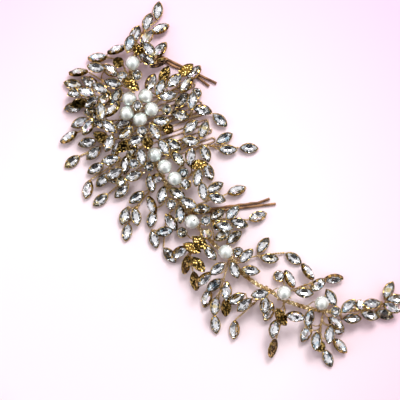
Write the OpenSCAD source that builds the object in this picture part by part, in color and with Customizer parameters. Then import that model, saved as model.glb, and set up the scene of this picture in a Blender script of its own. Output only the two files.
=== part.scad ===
// Bridal hair vine: wired sprays of claw-set crystals and pearls on one long stem, with a wire comb
// and two bobby pins under it to hold it in the hair.
// It lies face up. X runs along the vine and Z is up. The origin is the middle of the comb's spine.

/* [Crystals] */
// Length of a marquise crystal; the layout of the vine is written in this length
stone_length = 10; // [9:0.1:11]
// Width of a marquise crystal
stone_width = 5; // [4.4:0.1:5.2]
// Diameter of a round crystal
round_stone = 5.3; // [4.8:0.1:5.4]
// Height of the faceted top above the girdle
crown_height = 1; // [0.8:0.1:1.4]
// Depth of the pointed back below the girdle
pavilion_depth = 1.2; // [1:0.1:1.7]
// Thickness of the girdle
girdle = 0.25; // [0.2:0.05:0.5]
// Share of the outline that the flat table takes
table_share = 0.55; // [0.4:0.05:0.7]

/* [Settings] */
// Wall of a setting beside its crystal
setting_wall = 0.3; // [0.25:0.05:0.35]
// Floor of a setting
setting_floor = 0.4; // [0.35:0.05:0.6]
// Clearance between a crystal and its setting
stone_clearance = 0.12; // [0.1:0.01:0.16]
// Smallest height between two settings where one crosses the other
stack_gap = 0.15; // [0.1:0.05:0.3]
// Angle by which the outer end of each setting droops
droop = 3; // [0:1:6]

/* [Pearls] */
// Diameter of a pearl
pearl = 8; // [7:0.1:8]
// Drill hole through a pearl
pearl_hole = 1.2; // [1.1:0.1:1.6]
// Wire that a pearl is threaded on
pearl_wire = 0.8; // [0.6:0.1:0.9]
// Length of wire that shows outside a pearl before it bends or ends
pearl_reach = 0.7; // [0.5:0.1:1]

/* [Stem and wires] */
// Thickness of the bound main stem
stem = 2.6; // [2.2:0.1:2.7]
// Height of the middle of the stem above the surface
stem_height = 4; // [3.9:0.1:4.4]
// Thickness of the twisted wire along the middle of a spray
spine_wire = 1.1; // [0.8:0.1:1.2]
// Thickness of the twisted stalk of a single crystal
stalk_wire = 0.9; // [0.7:0.1:1]
// Height of the spray wires where they bend, above the surface
wire_height = 2.5; // [2.3:0.1:2.8]
// Length of the binding that holds a spray to the stem
binding_length = 1.6; // [1.2:0.1:1.8]
// Wall of a binding
binding_wall = 0.4; // [0.3:0.05:0.45]
// Clearance between the stem and a binding
binding_clearance = 0.15; // [0.1:0.01:0.18]
// Share of a segment by which a stalk leans back to the stem
stalk_lean = 0.16; // [0.05:0.01:0.25]

/* [Wire comb] */
// Number of teeth
teeth = 7; // [5:2:7]
// Distance between teeth
tooth_pitch = 5.4; // [4.8:0.1:5.6]
// Length of a tooth from the spine to its tip
tooth_length = 36; // [30:1:38]
// Distance between the two legs of a tooth
leg_gap = 2.4; // [2:0.1:2.8]
// Thickness of the comb wire
comb_wire = 1; // [0.8:0.1:1.1]
// Length of the loops behind the spine
loop_length = 3; // [2:0.5:5]
// Angle of the spine to the vine
comb_turn = -25; // [-30:1:-20]

/* [Bobby pins] */
// Length of a bobby pin
pin_length = 52; // [48:1:54]
// Thickness of the pin wire
pin_wire = 1.1; // [0.9:0.1:1.2]
// Distance between the legs at the bend
pin_bend = 2.2; // [2:0.1:2.6]
// Distance between the legs where they grip
pin_grip = 1.5; // [1.4:0.1:1.7]
// Distance between the legs at their tips
pin_mouth = 3.2; // [2.6:0.1:3.6]
// Length by which the crimped leg is shorter
pin_step = 3; // [1:0.5:5]
// Wall of the strap that holds a pin to the stem
strap_wall = 0.35; // [0.3:0.05:0.45]
// Clearance between a pin and its strap
strap_clearance = 0.1; // [0.1:0.01:0.15]

/* [Hidden] */
$fn = 48;
// Sides of the thin wires, and of the bound stem.
wire_sides = 8;
stem_sides = 20;
setting_length = stone_length + 2 * (setting_wall + stone_clearance);
setting_width = stone_width + 2 * (setting_wall + stone_clearance);
setting_round = round_stone + 2 * (setting_wall + stone_clearance);
setting_depth = setting_floor + stone_clearance + pavilion_depth + girdle;
body_height = setting_depth + crown_height;
binding_bore = stem + 2 * binding_clearance;
binding = binding_bore + 2 * binding_wall;
pin_height = strap_wall + strap_clearance + pin_wire / 2;
spine_height = comb_wire * 1.2;
// How much wider and how long the collar is where a wire bends or ends, in thicknesses of the wire.
collar_share = 1.12;
// Distance between the places on a wire where stalks may leave it.
stalk_step = 2;
// Width by which two settings may cross in plan before one is raised over the other.
stack_slack = 0.3;

// Cuts of a crystal, the first entry of each row in SPRAYS.
LEAF = 0;
ROUND = 1;

// The stem's bends in stone lengths, left and right of the comb: [x, y].
STEM_LEFT = [[-3.66, 3.16], [-3.0, 1.9]];
STEM_RIGHT = [
    [2.7, -1.1], [5.0, -1.35], [6.0, -1.6], [7.2, -1.62], [8.2, -1.45], [9.2, -1.68], [10.4, -1.48],
    [11.1, -1.22], [11.9, -1.12], [13.2, -0.46], [14.1, 0.15], [14.8, 0.9], [15.7, 2.05], [15.95, 2.7]
];
comb_reach = (teeth - 1) / 2 * tooth_pitch;
comb_along = [cos(comb_turn), sin(comb_turn)];
STEM = [
    for (p = STEM_LEFT) [p.x * stone_length, p.y * stone_length, stem_height],
    [-comb_along.x * comb_reach, -comb_along.y * comb_reach, stem_height],
    [comb_along.x * comb_reach, comb_along.y * comb_reach, stem_height],
    for (p = STEM_RIGHT) [p.x * stone_length, p.y * stone_length, stem_height]
];
COMB_SPAN = 2;

// The sprays: [span of the stem, share along it, side, bend x, bend y, rows].
// The side is 1 to the left of the stem and -1 to its right.
// A row is one setting: [cut, x, y, lift, heading, roll]. Its x, y and lift are in stone lengths,
// the lift is the least height of its lowest edge, and its heading points away from its stalk.
// A setting that crosses one with a smaller lift is raised until it lies on it.
// The first row of a spray ends its middle wire.
SPRAYS = [
    [0, 0.16, -1, -4.05, 3.6, [
        [LEAF, -4.28, 5.33, 0.1, 127, 0], [LEAF, -3.5, 4.72, 0.1, 68, -35],
        [LEAF, -4.2, 4.47, 0.05, 115, 10], [LEAF, -3.6, 3.82, 0.5, 96, -15],
        [LEAF, -4.22, 3.52, 0.05, 112, 15], [LEAF, -4.02, 2.92, 0.45, 118, 0],
        [ROUND, -3.46, 3.0, 0.35, 350, 170]
    ]],
    [0, 0.65, 1, -2.85, 2.8, [
        [LEAF, -2.66, 3.88, 0.3, 93, -25], [LEAF, -2.22, 3.34, 0.25, 68, -115],
        [LEAF, -3.0, 3.42, 0.65, 172, 0],
        [LEAF, -2.75, 2.98, 0.6, 195, 0]
    ]],
    [1, 0.1, -1, -3.8, 1.93, [
        [LEAF, -4.83, 1.14, 0.05, 230, 35], [LEAF, -4.37, 2.2, 0.05, 66, -50],
        [ROUND, -3.76, 1.76, 0.45, 200, 170], [LEAF, -3.8, 1.13, 0.3, 190, 20],
        [ROUND, -3.03, 1.37, 0.62, 250, 0], [ROUND, -2.54, 1.97, 0.62, 30, 0]
    ]],
    [1, 0.45, -1, -3.4, 0.5, [
        [LEAF, -5.0, -0.17, 0.05, 232, 55], [LEAF, -4.4, 0.68, 0.35, 217, 0],
        [LEAF, -3.15, 0.74, 0.45, 212, 0], [LEAF, -3.45, 0.03, 0.62, 200, 0],
        [LEAF, -4.13, -0.13, 0.2, 200, -20], [LEAF, -2.33, 1.36, 0.65, 10, 170]
    ]],
    [1, 0.8, -1, -2.75, -0.6, [
        [LEAF, -3.8, -1.78, 0, 232, -20], [LEAF, -4.73, -0.87, 0.1, 215, 0],
        [LEAF, -4.26, -1.05, 0.3, 242, 0], [LEAF, -3.8, -0.66, 0.6, 207, 10],
        [LEAF, -3.7, -1.34, 0.2, 235, 155], [LEAF, -3.22, -0.82, 0.45, 262, 0],
        [LEAF, -2.86, -0.22, 0.4, 100, -20], [LEAF, -2.55, 0.35, 0.3, 101, 0],
        [LEAF, -2.46, -0.8, 0.65, 322, 0], [LEAF, -2.82, -1.2, 0.3, 222, 0]
    ]],
    [2, 0.215, -1, -1.8, -0.8, [
        [LEAF, -2.85, -3.1, 0.05, 258, 45], [LEAF, -2.95, -2.1, 0.2, 250, 15],
        [LEAF, -2.42, -1.94, 0.4, 283, 25], [LEAF, -2.3, -1.3, 0.3, 165, 0],
        [LEAF, -2.15, -0.3, 0.4, 90, -45], [LEAF, -1.18, -0.5, 0.4, 238, 10],
        [LEAF, -1.6, -1.1, 0.6, 185, 0], [LEAF, -1.5, -1.78, 0.3, 195, 160]
    ]],
    [2, 0.4, -1, -0.9, -1.3, [
        [LEAF, -1.73, -3.93, 0, 262, 0], [LEAF, -1.88, -2.6, 0.15, 239, 0],
        [LEAF, -1.22, -2.76, 0.25, 268, 10], [LEAF, -0.96, -1.75, 0.4, 293, 10],
        [LEAF, -0.46, -1.76, 0.2, 285, 60], [LEAF, -0.72, -0.7, 0.62, 265, 0],
        [LEAF, -0.26, -1.25, 0.3, 260, 165]
    ]],
    [2, 0.685, -1, 0.1, -2.0, [
        [LEAF, -0.04, -4.42, 0, 303, 25], [LEAF, -0.54, -3.28, 0.15, 255, 0],
        [LEAF, -0.24, -2.33, 0.35, 238, 0], [LEAF, 0.19, -3.45, 0.15, 272, 0],
        [LEAF, 0.58, -2.95, 0.2, 215, 0], [LEAF, 0.44, -2.7, 0.55, 250, 10],
        [LEAF, 0.52, -1.98, 0.45, 310, 10], [LEAF, 0.0, -0.6, 0.6, 250, 0],
        [LEAF, 0.3, -1.3, 0.25, 290, 20], [ROUND, 1.0, -2.78, 0.4, 320, 0]
    ]],
    [2, 0.957, -1, 1.05, -2.2, [
        [LEAF, 0.88, -4.32, 0, 263, 0], [LEAF, 1.38, -3.16, 0.2, 268, 0],
        [LEAF, 1.28, -2.06, 0.45, 243, 10], [ROUND, 0.8, -1.58, 0.55, 250, 0],
        [LEAF, 0.86, -1.02, 0.62, 148, 0], [ROUND, 1.49, -1.1, 0.5, 260, 0]
    ]],
    [3, 0.75, -1, 2.55, -3.0, [
        [LEAF, 3.18, -4.55, 0, 305, 0], [LEAF, 2.46, -4.02, 0.1, 298, 0],
        [LEAF, 2.94, -3.58, 0.2, 325, 0], [LEAF, 2.2, -2.8, 0.3, 262, 0],
        [LEAF, 3.1, -2.55, 0.4, 335, 45], [LEAF, 2.23, -1.7, 0.6, 327, 0],
        [ROUND, 2.3, -1.26, 0.62, 250, -50]
    ]],
    [4, 0.16, -1, 3.55, -2.0, [
        [LEAF, 3.64, -3.05, 0.2, 300, 0], [LEAF, 3.1, -1.7, 0.45, 298, 0],
        [ROUND, 3.82, -1.7, 0.5, 300, 0], [LEAF, 3.62, -1.06, 0.62, 17, 0]
    ]],
    [4, 0.6, -1, 4.1, -2.4, [
        [LEAF, 5.75, -3.78, 0.05, 353, 0], [LEAF, 4.53, -3.76, 0.05, 332, 0],
        [LEAF, 4.62, -3.06, 0.3, 55, 0], [LEAF, 4.52, -2.44, 0.4, 350, 30],
        [LEAF, 4.56, -1.76, 0.62, 318, 0]
    ]],
    [2, 0.31, 1, -0.8, 1.9, [
        [LEAF, -0.44, 4.3, 0.2, 93, -30], [LEAF, -0.8, 4.05, 0.2, 85, 170],
        [LEAF, -0.24, 3.52, 0.5, 98, -30], [LEAF, -0.84, 3.2, 0.35, 85, 20],
        [LEAF, -1.47, 3.07, 0.25, 110, 165], [LEAF, -1.14, 2.4, 0.3, 112, 0],
        [LEAF, -0.5, 2.36, 0.55, 55, -10], [LEAF, -1.71, 2.24, 0.3, 110, 30],
        [ROUND, -0.02, 1.8, 0.5, 60, 0]
    ]],
    [2, 0.596, 1, 0.5, 1.6, [
        [LEAF, 2.43, 3.48, 0.15, 3, 0], [LEAF, 1.37, 3.18, 0.3, 33, 20],
        [LEAF, 0.63, 3.13, 0.4, 125, 0], [ROUND, 0.47, 3.6, 0.2, 100, 0],
        [LEAF, 0.16, 2.74, 0.3, 95, 0], [LEAF, 0.72, 2.12, 0.3, 33, 15],
        [LEAF, 0.21, 1.14, 0.4, 47, 0], [ROUND, 0.8, 1.07, 0.35, 60, 150],
        [LEAF, 0.38, 0.48, 0.5, 345, 0], [ROUND, -0.1, 0.0, 0.62, 200, 0],
        [ROUND, 0.58, -0.24, 0.62, 300, 170]
    ]],
    [3, 0.2, 1, 1.9, 0.6, [
        [LEAF, 2.18, 2.47, 0.3, 113, 0], [LEAF, 1.56, 2.07, 0.3, 86, 15],
        [LEAF, 2.1, 1.5, 0.4, 37, 0], [LEAF, 1.6, 0.72, 0.35, 10, 0],
        [LEAF, 2.3, 0.33, 0.5, 352, 0], [LEAF, 1.33, 0.21, 0.45, 165, 0]
    ]],
    [4, 0.05, 1, 2.6, 1.7, [
        [LEAF, 4.67, 3.52, 0.05, 43, 0], [LEAF, 3.9, 2.62, 0.1, 43, 0],
        [LEAF, 3.32, 2.94, 0.1, 75, 0], [LEAF, 3.16, 1.62, 0.3, 337, 0],
        [LEAF, 2.73, 0.9, 0.45, 305, -20], [ROUND, 3.07, -0.03, 0.5, 60, 0]
    ]],
    [4, 0.38, 1, 3.4, 0.2, [
        [LEAF, 4.02, 1.02, 0.2, 335, 0], [LEAF, 3.82, 0.36, 0.35, 303, 0],
        [LEAF, 3.36, 0.86, 0.2, 50, 165], [ROUND, 3.6, -0.36, 0.5, 100, -15],
        [LEAF, 4.56, 0.02, 0.4, 322, 0]
    ]],
    [4, 0.85, 1, 5.0, -0.4, [
        [LEAF, 5.82, 1.4, 0.05, 62, -35], [LEAF, 5.36, 0.3, 0.35, 28, 0],
        [LEAF, 4.87, 0.65, 0.3, 72, 0], [LEAF, 5.2, -0.72, 0.45, 50, 0],
        [LEAF, 4.46, -1.0, 0.62, 200, 0]
    ]],
    [5, 0.7, 1, 6.3, -0.4, [
        [LEAF, 7.67, 1.2, 0.05, 63, -25], [LEAF, 7.22, 0.2, 0.3, 28, 0],
        [LEAF, 6.53, 0.35, 0.3, 92, 0], [LEAF, 6.02, -0.34, 0.3, 80, 0],
        [ROUND, 5.8, -1.0, 0.5, 100, 0], [ROUND, 6.46, -0.72, 0.35, 20, 0],
        [LEAF, 6.75, -0.5, 0.6, 30, 0], [LEAF, 7.03, -0.93, 0.3, 75, 0]
    ]],
    [6, 0.15, -1, 6.2, -2.7, [
        [LEAF, 7.78, -3.76, 0.05, 325, -140], [LEAF, 6.8, -3.47, 0.1, 303, -130],
        [LEAF, 6.03, -3.28, 0.15, 258, -30], [LEAF, 7.2, -3.0, 0.1, 355, 170],
        [LEAF, 6.42, -2.1, 0.5, 5, 165], [LEAF, 6.34, -2.62, 0.15, 20, 160],
        [ROUND, 5.35, -2.4, 0.3, 200, 0], [LEAF, 7.23, -2.08, 0.45, 352, 0],
        [ROUND, 6.33, -1.48, 0.62, 60, -25]
    ]],
    [8, 0.35, 1, 9.25, -0.3, [
        [LEAF, 10.73, 0.95, 0.05, 12, 0], [LEAF, 9.78, 0.01, 0.1, 40, 0],
        [LEAF, 9.02, 0.27, 0.1, 98, 0], [LEAF, 8.74, -0.8, 0.62, 90, 0],
        [ROUND, 8.3, -0.98, 0.5, 120, 0], [LEAF, 9.5, -1.2, 0.62, 38, 0],
        [LEAF, 7.57, -0.55, 0.2, 84, 0]
    ]],
    [8, 0.1, -1, 8.8, -2.6, [
        [LEAF, 10.27, -4.7, 0, 322, 0], [LEAF, 9.5, -3.97, 0.3, 308, 0],
        [LEAF, 9.95, -3.6, 0.1, 310, 150], [LEAF, 9.36, -2.96, 0.4, 312, 15],
        [LEAF, 8.88, -4.03, 0.05, 300, 30], [LEAF, 8.64, -3.2, 0.35, 265, 0],
        [LEAF, 8.02, -3.35, 0.1, 268, -40], [LEAF, 8.1, -2.4, 0.4, 262, 0],
        [LEAF, 8.84, -1.8, 0.62, 337, 0]
    ]],
    [10, 0.6, -1, 10.95, -2.4, [
        [LEAF, 11.19, -4.18, 0, 312, 30], [LEAF, 10.56, -2.78, 0.3, 267, 15],
        [LEAF, 10.04, -2.84, 0.1, 255, 0], [LEAF, 10.74, -1.74, 0.5, 235, 10],
        [LEAF, 11.4, -2.0, 0.3, 312, 0], [LEAF, 11.84, -2.15, 0.1, 292, 30]
    ]],
    [12, 0.1, -1, 12.4, -1.4, [
        [LEAF, 13.38, -3.4, 0.05, 300, 130], [LEAF, 12.68, -2.57, 0.15, 303, -10],
        [LEAF, 12.44, -1.86, 0.2, 345, 150], [LEAF, 12.98, -1.25, 0.35, 37, 20]
    ]],
    [11, 0.75, 1, 12.05, 0, [
        [LEAF, 13.12, 1.7, 0.05, 50, 40], [LEAF, 12.68, 0.86, 0.1, 82, 20],
        [LEAF, 11.78, 1.02, 0.1, 170, 50], [LEAF, 12.4, 0.02, 0.3, 38, 0],
        [LEAF, 11.37, 0.02, 0.2, 162, 45], [ROUND, 10.83, -0.32, 0.1, 180, 15]
    ]],
    [13, 0.84, -1, 14.6, -0.9, [
        [LEAF, 16.0, -1.62, 0, 337, 0], [LEAF, 15.97, -0.63, 0.05, 357, -35],
        [LEAF, 14.99, -0.62, 0.4, 308, 0], [LEAF, 14.78, -1.4, 0.2, 310, 0],
        [ROUND, 15.16, -1.48, 0.1, 330, 160], [LEAF, 14.13, -1.5, 0.1, 287, 30],
        [LEAF, 13.62, -0.78, 0.3, 120, 0], [LEAF, 14.84, 0.08, 0.3, 5, -30],
        [ROUND, 15.28, -0.07, 0.1, 20, 20]
    ]],
    [14, 0.6, -1, 14.75, 0.55, [
        [LEAF, 15.32, 0.88, 0.3, 45, 0], [ROUND, 14.34, 0.5, 0.62, 200, 0],
        [LEAF, 13.7, 0.88, 0.3, 165, 0], [LEAF, 14.6, 1.2, 0.62, 87, 0],
        [LEAF, 15.88, 1.7, 0.2, 28, 0]
    ]],
    [16, 0.5, -1, 16.2, 2.75, [
        [LEAF, 16.33, 3.36, 0.05, 43, 0], [LEAF, 15.65, 3.42, 0.1, 107, 0],
        [LEAF, 16.43, 2.85, 0.3, 18, -15], [LEAF, 16.48, 2.32, 0.1, 27, 0],
        [LEAF, 15.46, 2.22, 0.62, 225, 15], [ROUND, 15.1, 1.72, 0.5, 235, 20]
    ]]
];

// Which sprays share one node of crystals: [first spray, last spray].
FIELDS = [[0, 2], [3, 4], [5, 6], [7, 9], [10, 11], [12, 13], [14, 17], [18, 20], [21, 23], [24, 27]];

// The pearls in stone lengths: [x, y, lift].
PEARLS = [
    [-3.15, 2.27, 0.6], [-1.37, 1.5, 0.6], [-0.62, 1.2, 0.6], [-1.9, 0.75, 0.6], [-1.43, 0.09, 0.6],
    [-0.67, 0.37, 0.6], [1.25, -0.45, 0.6], [2.11, -0.51, 0.6], [2.96, -0.59, 0.6], [5.31, -1.59, 0.6],
    [7.78, -1.45, 0.6], [11.65, -0.77, 0.6], [13.53, 0.3, 0.35]
];

// The middle of the flower of pearls in stone lengths, and its pearls: [first, last].
FLOWER = [-1.22, 0.78];
FLOWER_PEARLS = [1, 5];
// The round crystal that sits on the flower: [cut, x, y, lift, heading, roll].
FLOWER_STONE = [ROUND, -1.27, 0.8, 1.26, 0, 0];
// The binding of the flower: [span of the stem, share along it].
FLOWER_BINDING = [2, 0.05];

// Wires from the stem through the other pearls: [span, share along it, first pearl, last pearl,
// heading, tilt]. A tilted wire ends inside its pearl.
PEARL_WIRES = [
    [0, 0.36, 0, 0, -62, 0], [2, 0.76, 6, 8, -4.5, 0], [5, 0.36, 9, 9, 90, 66],
    [7, 0.09, 10, 10, 10, 0], [11, 0.05, 11, 11, 7, 0], [12, 0.9, 12, 12, 35, 0]
];

// Where the comb's bindings hold the stem, as shares of its span.
COMB_BINDINGS = [0.125, 0.5, 0.877];

// The bobby pins: [span of the strap, share along it, heading, bend before the strap, crimped side].
// The bend's distance is in stone lengths. The crimped leg is on the left at 1, the right at -1.
PINS = [[0, 0, 19, 0.4, -1], [4, 0.95, 52, 0.4, 1]];

// The crimped leg of a pin: [share of the pin's length, share of the grip's distance].
CRIMPS = [
    [0.1, 0.5], [0.44, 0.5], [0.5, 0.8], [0.56, 0.5], [0.62, 0.8], [0.68, 0.5], [0.74, 0.8], [0.8, 0.5]
];

function numbered(name, i) = str(name, i < 9 ? "_0" : "_", i + 1);

main_stem();
wire_comb();
bobby_pin(PINS[0]);  // upper_bobby_pin
bobby_pin(PINS[1]);  // lower_bobby_pin
flower_setting();
place(FLOWER_ROW) crystal(FLOWER_ROW);  // flower_crystal
for (i = [0:len(SPRAYS) - 1]) {
    spray_settings(SPRAYS[i], LAID[i]);
}
for (i = [0:len(FIELDS) - 1]) {
    crystal_field(FIELDS[i]);
}
for (i = [0:len(PEARLS) - 1]) {
    drilled_pearl(i);
}

function unit(v) = v / norm(v);
function heading_vector(heading, tilt) =
    [cos(heading) * cos(tilt), sin(heading) * cos(tilt), sin(tilt)];
function on_stem(span, share) = STEM[span] + share * (STEM[span + 1] - STEM[span]);
function stem_along(span) = unit(STEM[span + 1] - STEM[span]);
function pearl_middle(i) = PEARLS[i] * stone_length + [0, 0, pearl / 2];

// Length and width of the setting of a row.
function setting_size(row) =
    row[0] == LEAF ? [setting_length, setting_width] : [setting_round, setting_round];

// Half the height that a setting takes up where it is rolled.
function rolled_height(row) =
    setting_size(row).y / 2 * abs(sin(row[5])) + body_height / 2 * abs(cos(row[5]));

// A setting as slices along its length: [x, y, height over its middle, radius, half height, slope].
// The slope is how much it rises along x and y. A setting on its side counts as level.
function slices(row) = let (
    size = setting_size(row),
    r = arc_radius(size.x, size.y),
    upright = abs(cos(row[5])),
    flat = abs(sin(row[5])),
    slope = upright < 0.5 ? 0 : tan(row[5])
) [
    for (share = row[0] == LEAF ? [-0.38:0.19:0.38] : [0]) let (
        along = share * size.x,
        half_width = row[0] == LEAF ? sqrt(r * r - along * along) - r + size.y / 2 : size.y / 2
    ) [
        row[1] * stone_length + along * cos(row[4]),
        row[2] * stone_length + along * sin(row[4]),
        -along * sin(droop),
        half_width * upright + body_height / 2 * flat,
        upright < 0.5 ? half_width * flat + body_height / 2 * upright : body_height / 2 / upright,
        [-slope * sin(row[4]), slope * cos(row[4])]
    ]
];

// Height of the middle of a row at its own lift.
function lifted(row) = row[3] * stone_length + rolled_height(row) + setting_size(row).x / 2 * sin(droop);

// Height by which a slice has to be raised to clear a placed slice below it, where they cross.
function raised(upper, lower) = let (
    v = [upper.x - lower.x, upper.y - lower.y],
    d = norm(v),
    cross = min(max((d + lower[3] - upper[3]) / 2, 0), d) / max(d, 0.01),
    top = lower.z + lower[4] + lower[5] * v * cross,
    underside = upper.z - upper[4] - upper[5] * v * (1 - cross)
) d > upper[3] + lower[3] - stack_slack ? 0 : top + stack_gap - underside;

// Height of the middle of a row that also clears the placed slices below it.
function rested(row, below) = let (
    x = row[1] * stone_length,
    y = row[2] * stone_length,
    reach = stone_length * 0.8,
    near = [for (b = below) if (abs(b.x - x) < reach && abs(b.y - y) < reach) b]
) max([lifted(row), for (s = slices(row), b = near) raised(s, b)]);

// Slices of a row whose middle is at height z.
function placed_slices(row, z) = [for (s = slices(row)) [s.x, s.y, z + s.z, s[3], s[4], s[5]]];

// Rests one row after the other on the rows before it and gives their heights.
function stacked(rows, below, heights = []) = let (n = len(heights))
    n == len(rows) ? heights : let (z = rested(rows[n], below))
        stacked(rows, concat(below, placed_slices(rows[n], z)), concat(heights, [z]));

// A round bar from a to b as slices.
function bar_slices(a, b, thickness) = let (n = ceil(norm(b - a) / 2)) [
    for (i = [0:n]) let (p = a + i / n * (b - a)) [p.x, p.y, p.z, thickness / 2, thickness / 2, [0, 0]]
];

// A row with the height of its middle in place of its lift.
function laid(row, z) = [row[0], row[1], row[2], z / stone_length, row[4], row[5]];
function row_middle(row) = [row[1], row[2], row[3]] * stone_length;

STEM_SLICES = [for (i = [1:len(STEM) - 1]) each bar_slices(STEM[i - 1], STEM[i], binding)];

// The last settings of the sprays lie lowest, then come the wires, then the rest by their lift.
END_ROWS = [for (spray = SPRAYS) spray[5][0]];
END_HEIGHTS = stacked(END_ROWS, STEM_SLICES);
ENDS = [for (i = [0:len(SPRAYS) - 1]) laid(END_ROWS[i], END_HEIGHTS[i])];
WIRE_SLICES = [
    for (i = [0:len(SPRAYS) - 1]) let (bend = spray_bend(SPRAYS[i])) each concat(
        bar_slices(spray_root(SPRAYS[i]), bend, spine_wire),
        bar_slices(bend, stalk_end(ENDS[i]), spine_wire)
    )
];
END_SLICES = [for (row = ENDS) each placed_slices(row, row_middle(row).z)];
// The lifts in the rows, from the surface up: each inner setting is laid on the ones below it.
LEVELS = [0:0.05:1.3];
INNER_PLACES = [
    for (level = LEVELS, i = [0:len(SPRAYS) - 1], k = [1:len(SPRAYS[i][5]) - 1])
        if (abs(SPRAYS[i][5][k][3] - level) < 0.026) [i, k]
];
INNER_ROWS = [for (p = INNER_PLACES) SPRAYS[p[0]][5][p[1]]];
INNER_HEIGHTS = stacked(INNER_ROWS, concat(STEM_SLICES, WIRE_SLICES, END_SLICES));
LAID = [
    for (i = [0:len(SPRAYS) - 1]) [
        ENDS[i],
        for (k = [1:len(SPRAYS[i][5]) - 1]) let (
            n = [for (j = [0:len(INNER_PLACES) - 1]) if (INNER_PLACES[j] == [i, k]) j][0]
        ) laid(SPRAYS[i][5][k], INNER_HEIGHTS[n])
    ]
];

// A point given in a row's own frame, turned by its roll, droop and heading.
function turned(p, roll, heading) = let (
    a = [p.x, p.y * cos(roll) - p.z * sin(roll), p.y * sin(roll) + p.z * cos(roll)],
    b = [a.x * cos(droop) + a.z * sin(droop), a.y, -a.x * sin(droop) + a.z * cos(droop)]
) [b.x * cos(heading) - b.y * sin(heading), b.x * sin(heading) + b.y * cos(heading), b.z];

// Where the stalk of a row meets its setting, at the inner end of its floor.
function stalk_end(row) = row_middle(row) + turned(
    [-setting_size(row).x / 2 - stalk_wire / 6, 0, -body_height / 2 + setting_floor], row[5], row[4]);

// Where the middle wire of a spray leaves its binding, low on the side of the stem.
function spray_root(spray) = let (
    along = stem_along(spray[0]),
    out = spray[2] * cos(30)
) on_stem(spray[0], spray[1]) + (binding / 2 + spine_wire / 6) * [-along.y * out, along.x * out, -sin(30)];

// Top of the binding of a spray, where the stalks of the settings over the stem begin.
function binding_top(spray) = on_stem(spray[0], spray[1]) + [0, 0, binding / 2 + stalk_wire / 6];

function spray_bend(spray) = [spray[3] * stone_length, spray[4] * stone_length, wire_height];

// The point of the wire from a to b where the stalk that ends at p leaves it, one of even steps.
function stalk_foot(a, b, p) = let (
    steps = ceil(norm(b - a) / stalk_step),
    share = (p - a) * (b - a) / ((b - a) * (b - a)) - stalk_lean
) a + min(max(round(share * steps), 0), steps) / steps * (b - a);

function nearer(p, a, b) = norm(p - a) < norm(p - b) ? a : b;

// Turns what points up so that it points along v.
module aimed(v) {
    rotate([0, acos(v.z / norm(v)), atan2(v.y, v.x)]) children();
}

module rod(a, b, thickness) {
    translate(a) aimed(b - a) cylinder(h = norm(b - a), d = thickness, $fn = wire_sides);
}

// A short collar round a wire that runs along v, where it bends or ends.
module collar(p, v, thickness) {
    width = thickness * collar_share;
    translate(p) aimed(v) cylinder(h = width, d = width, center = true, $fn = wire_sides);
}

module wire(points, thickness) {
    collar(points[0], points[1] - points[0], thickness);
    for (i = [1:len(points) - 1]) {
        rod(points[i - 1], points[i], thickness);
        collar(points[i], points[i] - points[i - 1], thickness);
    }
}

// Across a level path at one of its points, stretched by the mitre there.
function path_across(points, i) = let (
    last = len(points) - 1,
    before = unit(points[max(i, 1)] - points[max(i, 1) - 1]),
    after = unit(points[min(i + 1, last)] - points[min(i + 1, last) - 1]),
    along = unit(before + after)
) [-along.y, along.x] / (along * before);

// A round bar along level points, with mitred bends.
module tube(points, thickness) {
    n = len(points);
    corners = [
        for (i = [0:n - 1], k = [0:stem_sides - 1]) let (
            side = thickness / 2 * cos(360 * k / stem_sides) * path_across(points, i)
        ) points[i] + [side.x, side.y, thickness / 2 * sin(360 * k / stem_sides)]
    ];
    faces = [
        [for (k = [0:stem_sides - 1]) k],
        for (i = [1:n - 1], k = [0:stem_sides - 1]) let (a = (i - 1) * stem_sides, j = (k + 1) % stem_sides)
            [a + k, a + stem_sides + k, a + stem_sides + j, a + j],
        [for (k = [1:stem_sides]) n * stem_sides - k]
    ];
    polyhedron(corners, faces);
}

module place(row) {
    translate(row_middle(row)) rotate([row[5], droop, row[4]]) children();
}

// Radius of the two arcs that bound a marquise.
function arc_radius(length, width) = (length * length + width * width) / (4 * width);

// Outline of a marquise: two arcs that meet in a point at each end.
module marquise(length, width) {
    r = arc_radius(length, width);
    intersection() {
        translate([0, r - width / 2]) circle(r);
        translate([0, width / 2 - r]) circle(r);
    }
}

function marquise_points(length, width, steps) = let (
    r = arc_radius(length, width),
    reach = asin(length / 2 / r)
) [
    for (side = [1, -1], i = [0:steps - 1]) let (a = reach * (2 * i / steps - 1))
        side * [r * sin(a), r * cos(a) - r + width / 2]
];

function round_points(d, steps) = [
    for (i = [0:steps - 1]) d / 2 * [sin(360 * i / steps), cos(360 * i / steps)]
];

// A cut stone over an outline: flat table, sloping crown, straight girdle and pointed back.
module cut_stone(outline) {
    n = len(outline);
    rise = -body_height / 2 + setting_floor + stone_clearance;
    belt = rise + pavilion_depth;
    top = belt + girdle + crown_height;
    points = [
        for (p = outline) [p.x, p.y, belt],
        for (p = outline) [p.x, p.y, belt + girdle],
        for (p = outline) [p.x * table_share, p.y * table_share, top],
        [0, 0, rise]
    ];
    faces = [
        [for (i = [0:n - 1]) 2 * n + i],
        for (k = [0, n], i = [0:n - 1]) let (j = (i + 1) % n) [k + i, k + j, k + n + j, k + n + i],
        for (i = [0:n - 1]) [3 * n, (i + 1) % n, i]
    ];
    polyhedron(points, faces);
}

module crystal(row) {
    color("aliceblue") {
        if (row[0] == LEAF) cut_stone(marquise_points(stone_length, stone_width, 4));
        if (row[0] == ROUND) cut_stone(round_points(round_stone, 8));
    }
}

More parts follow.
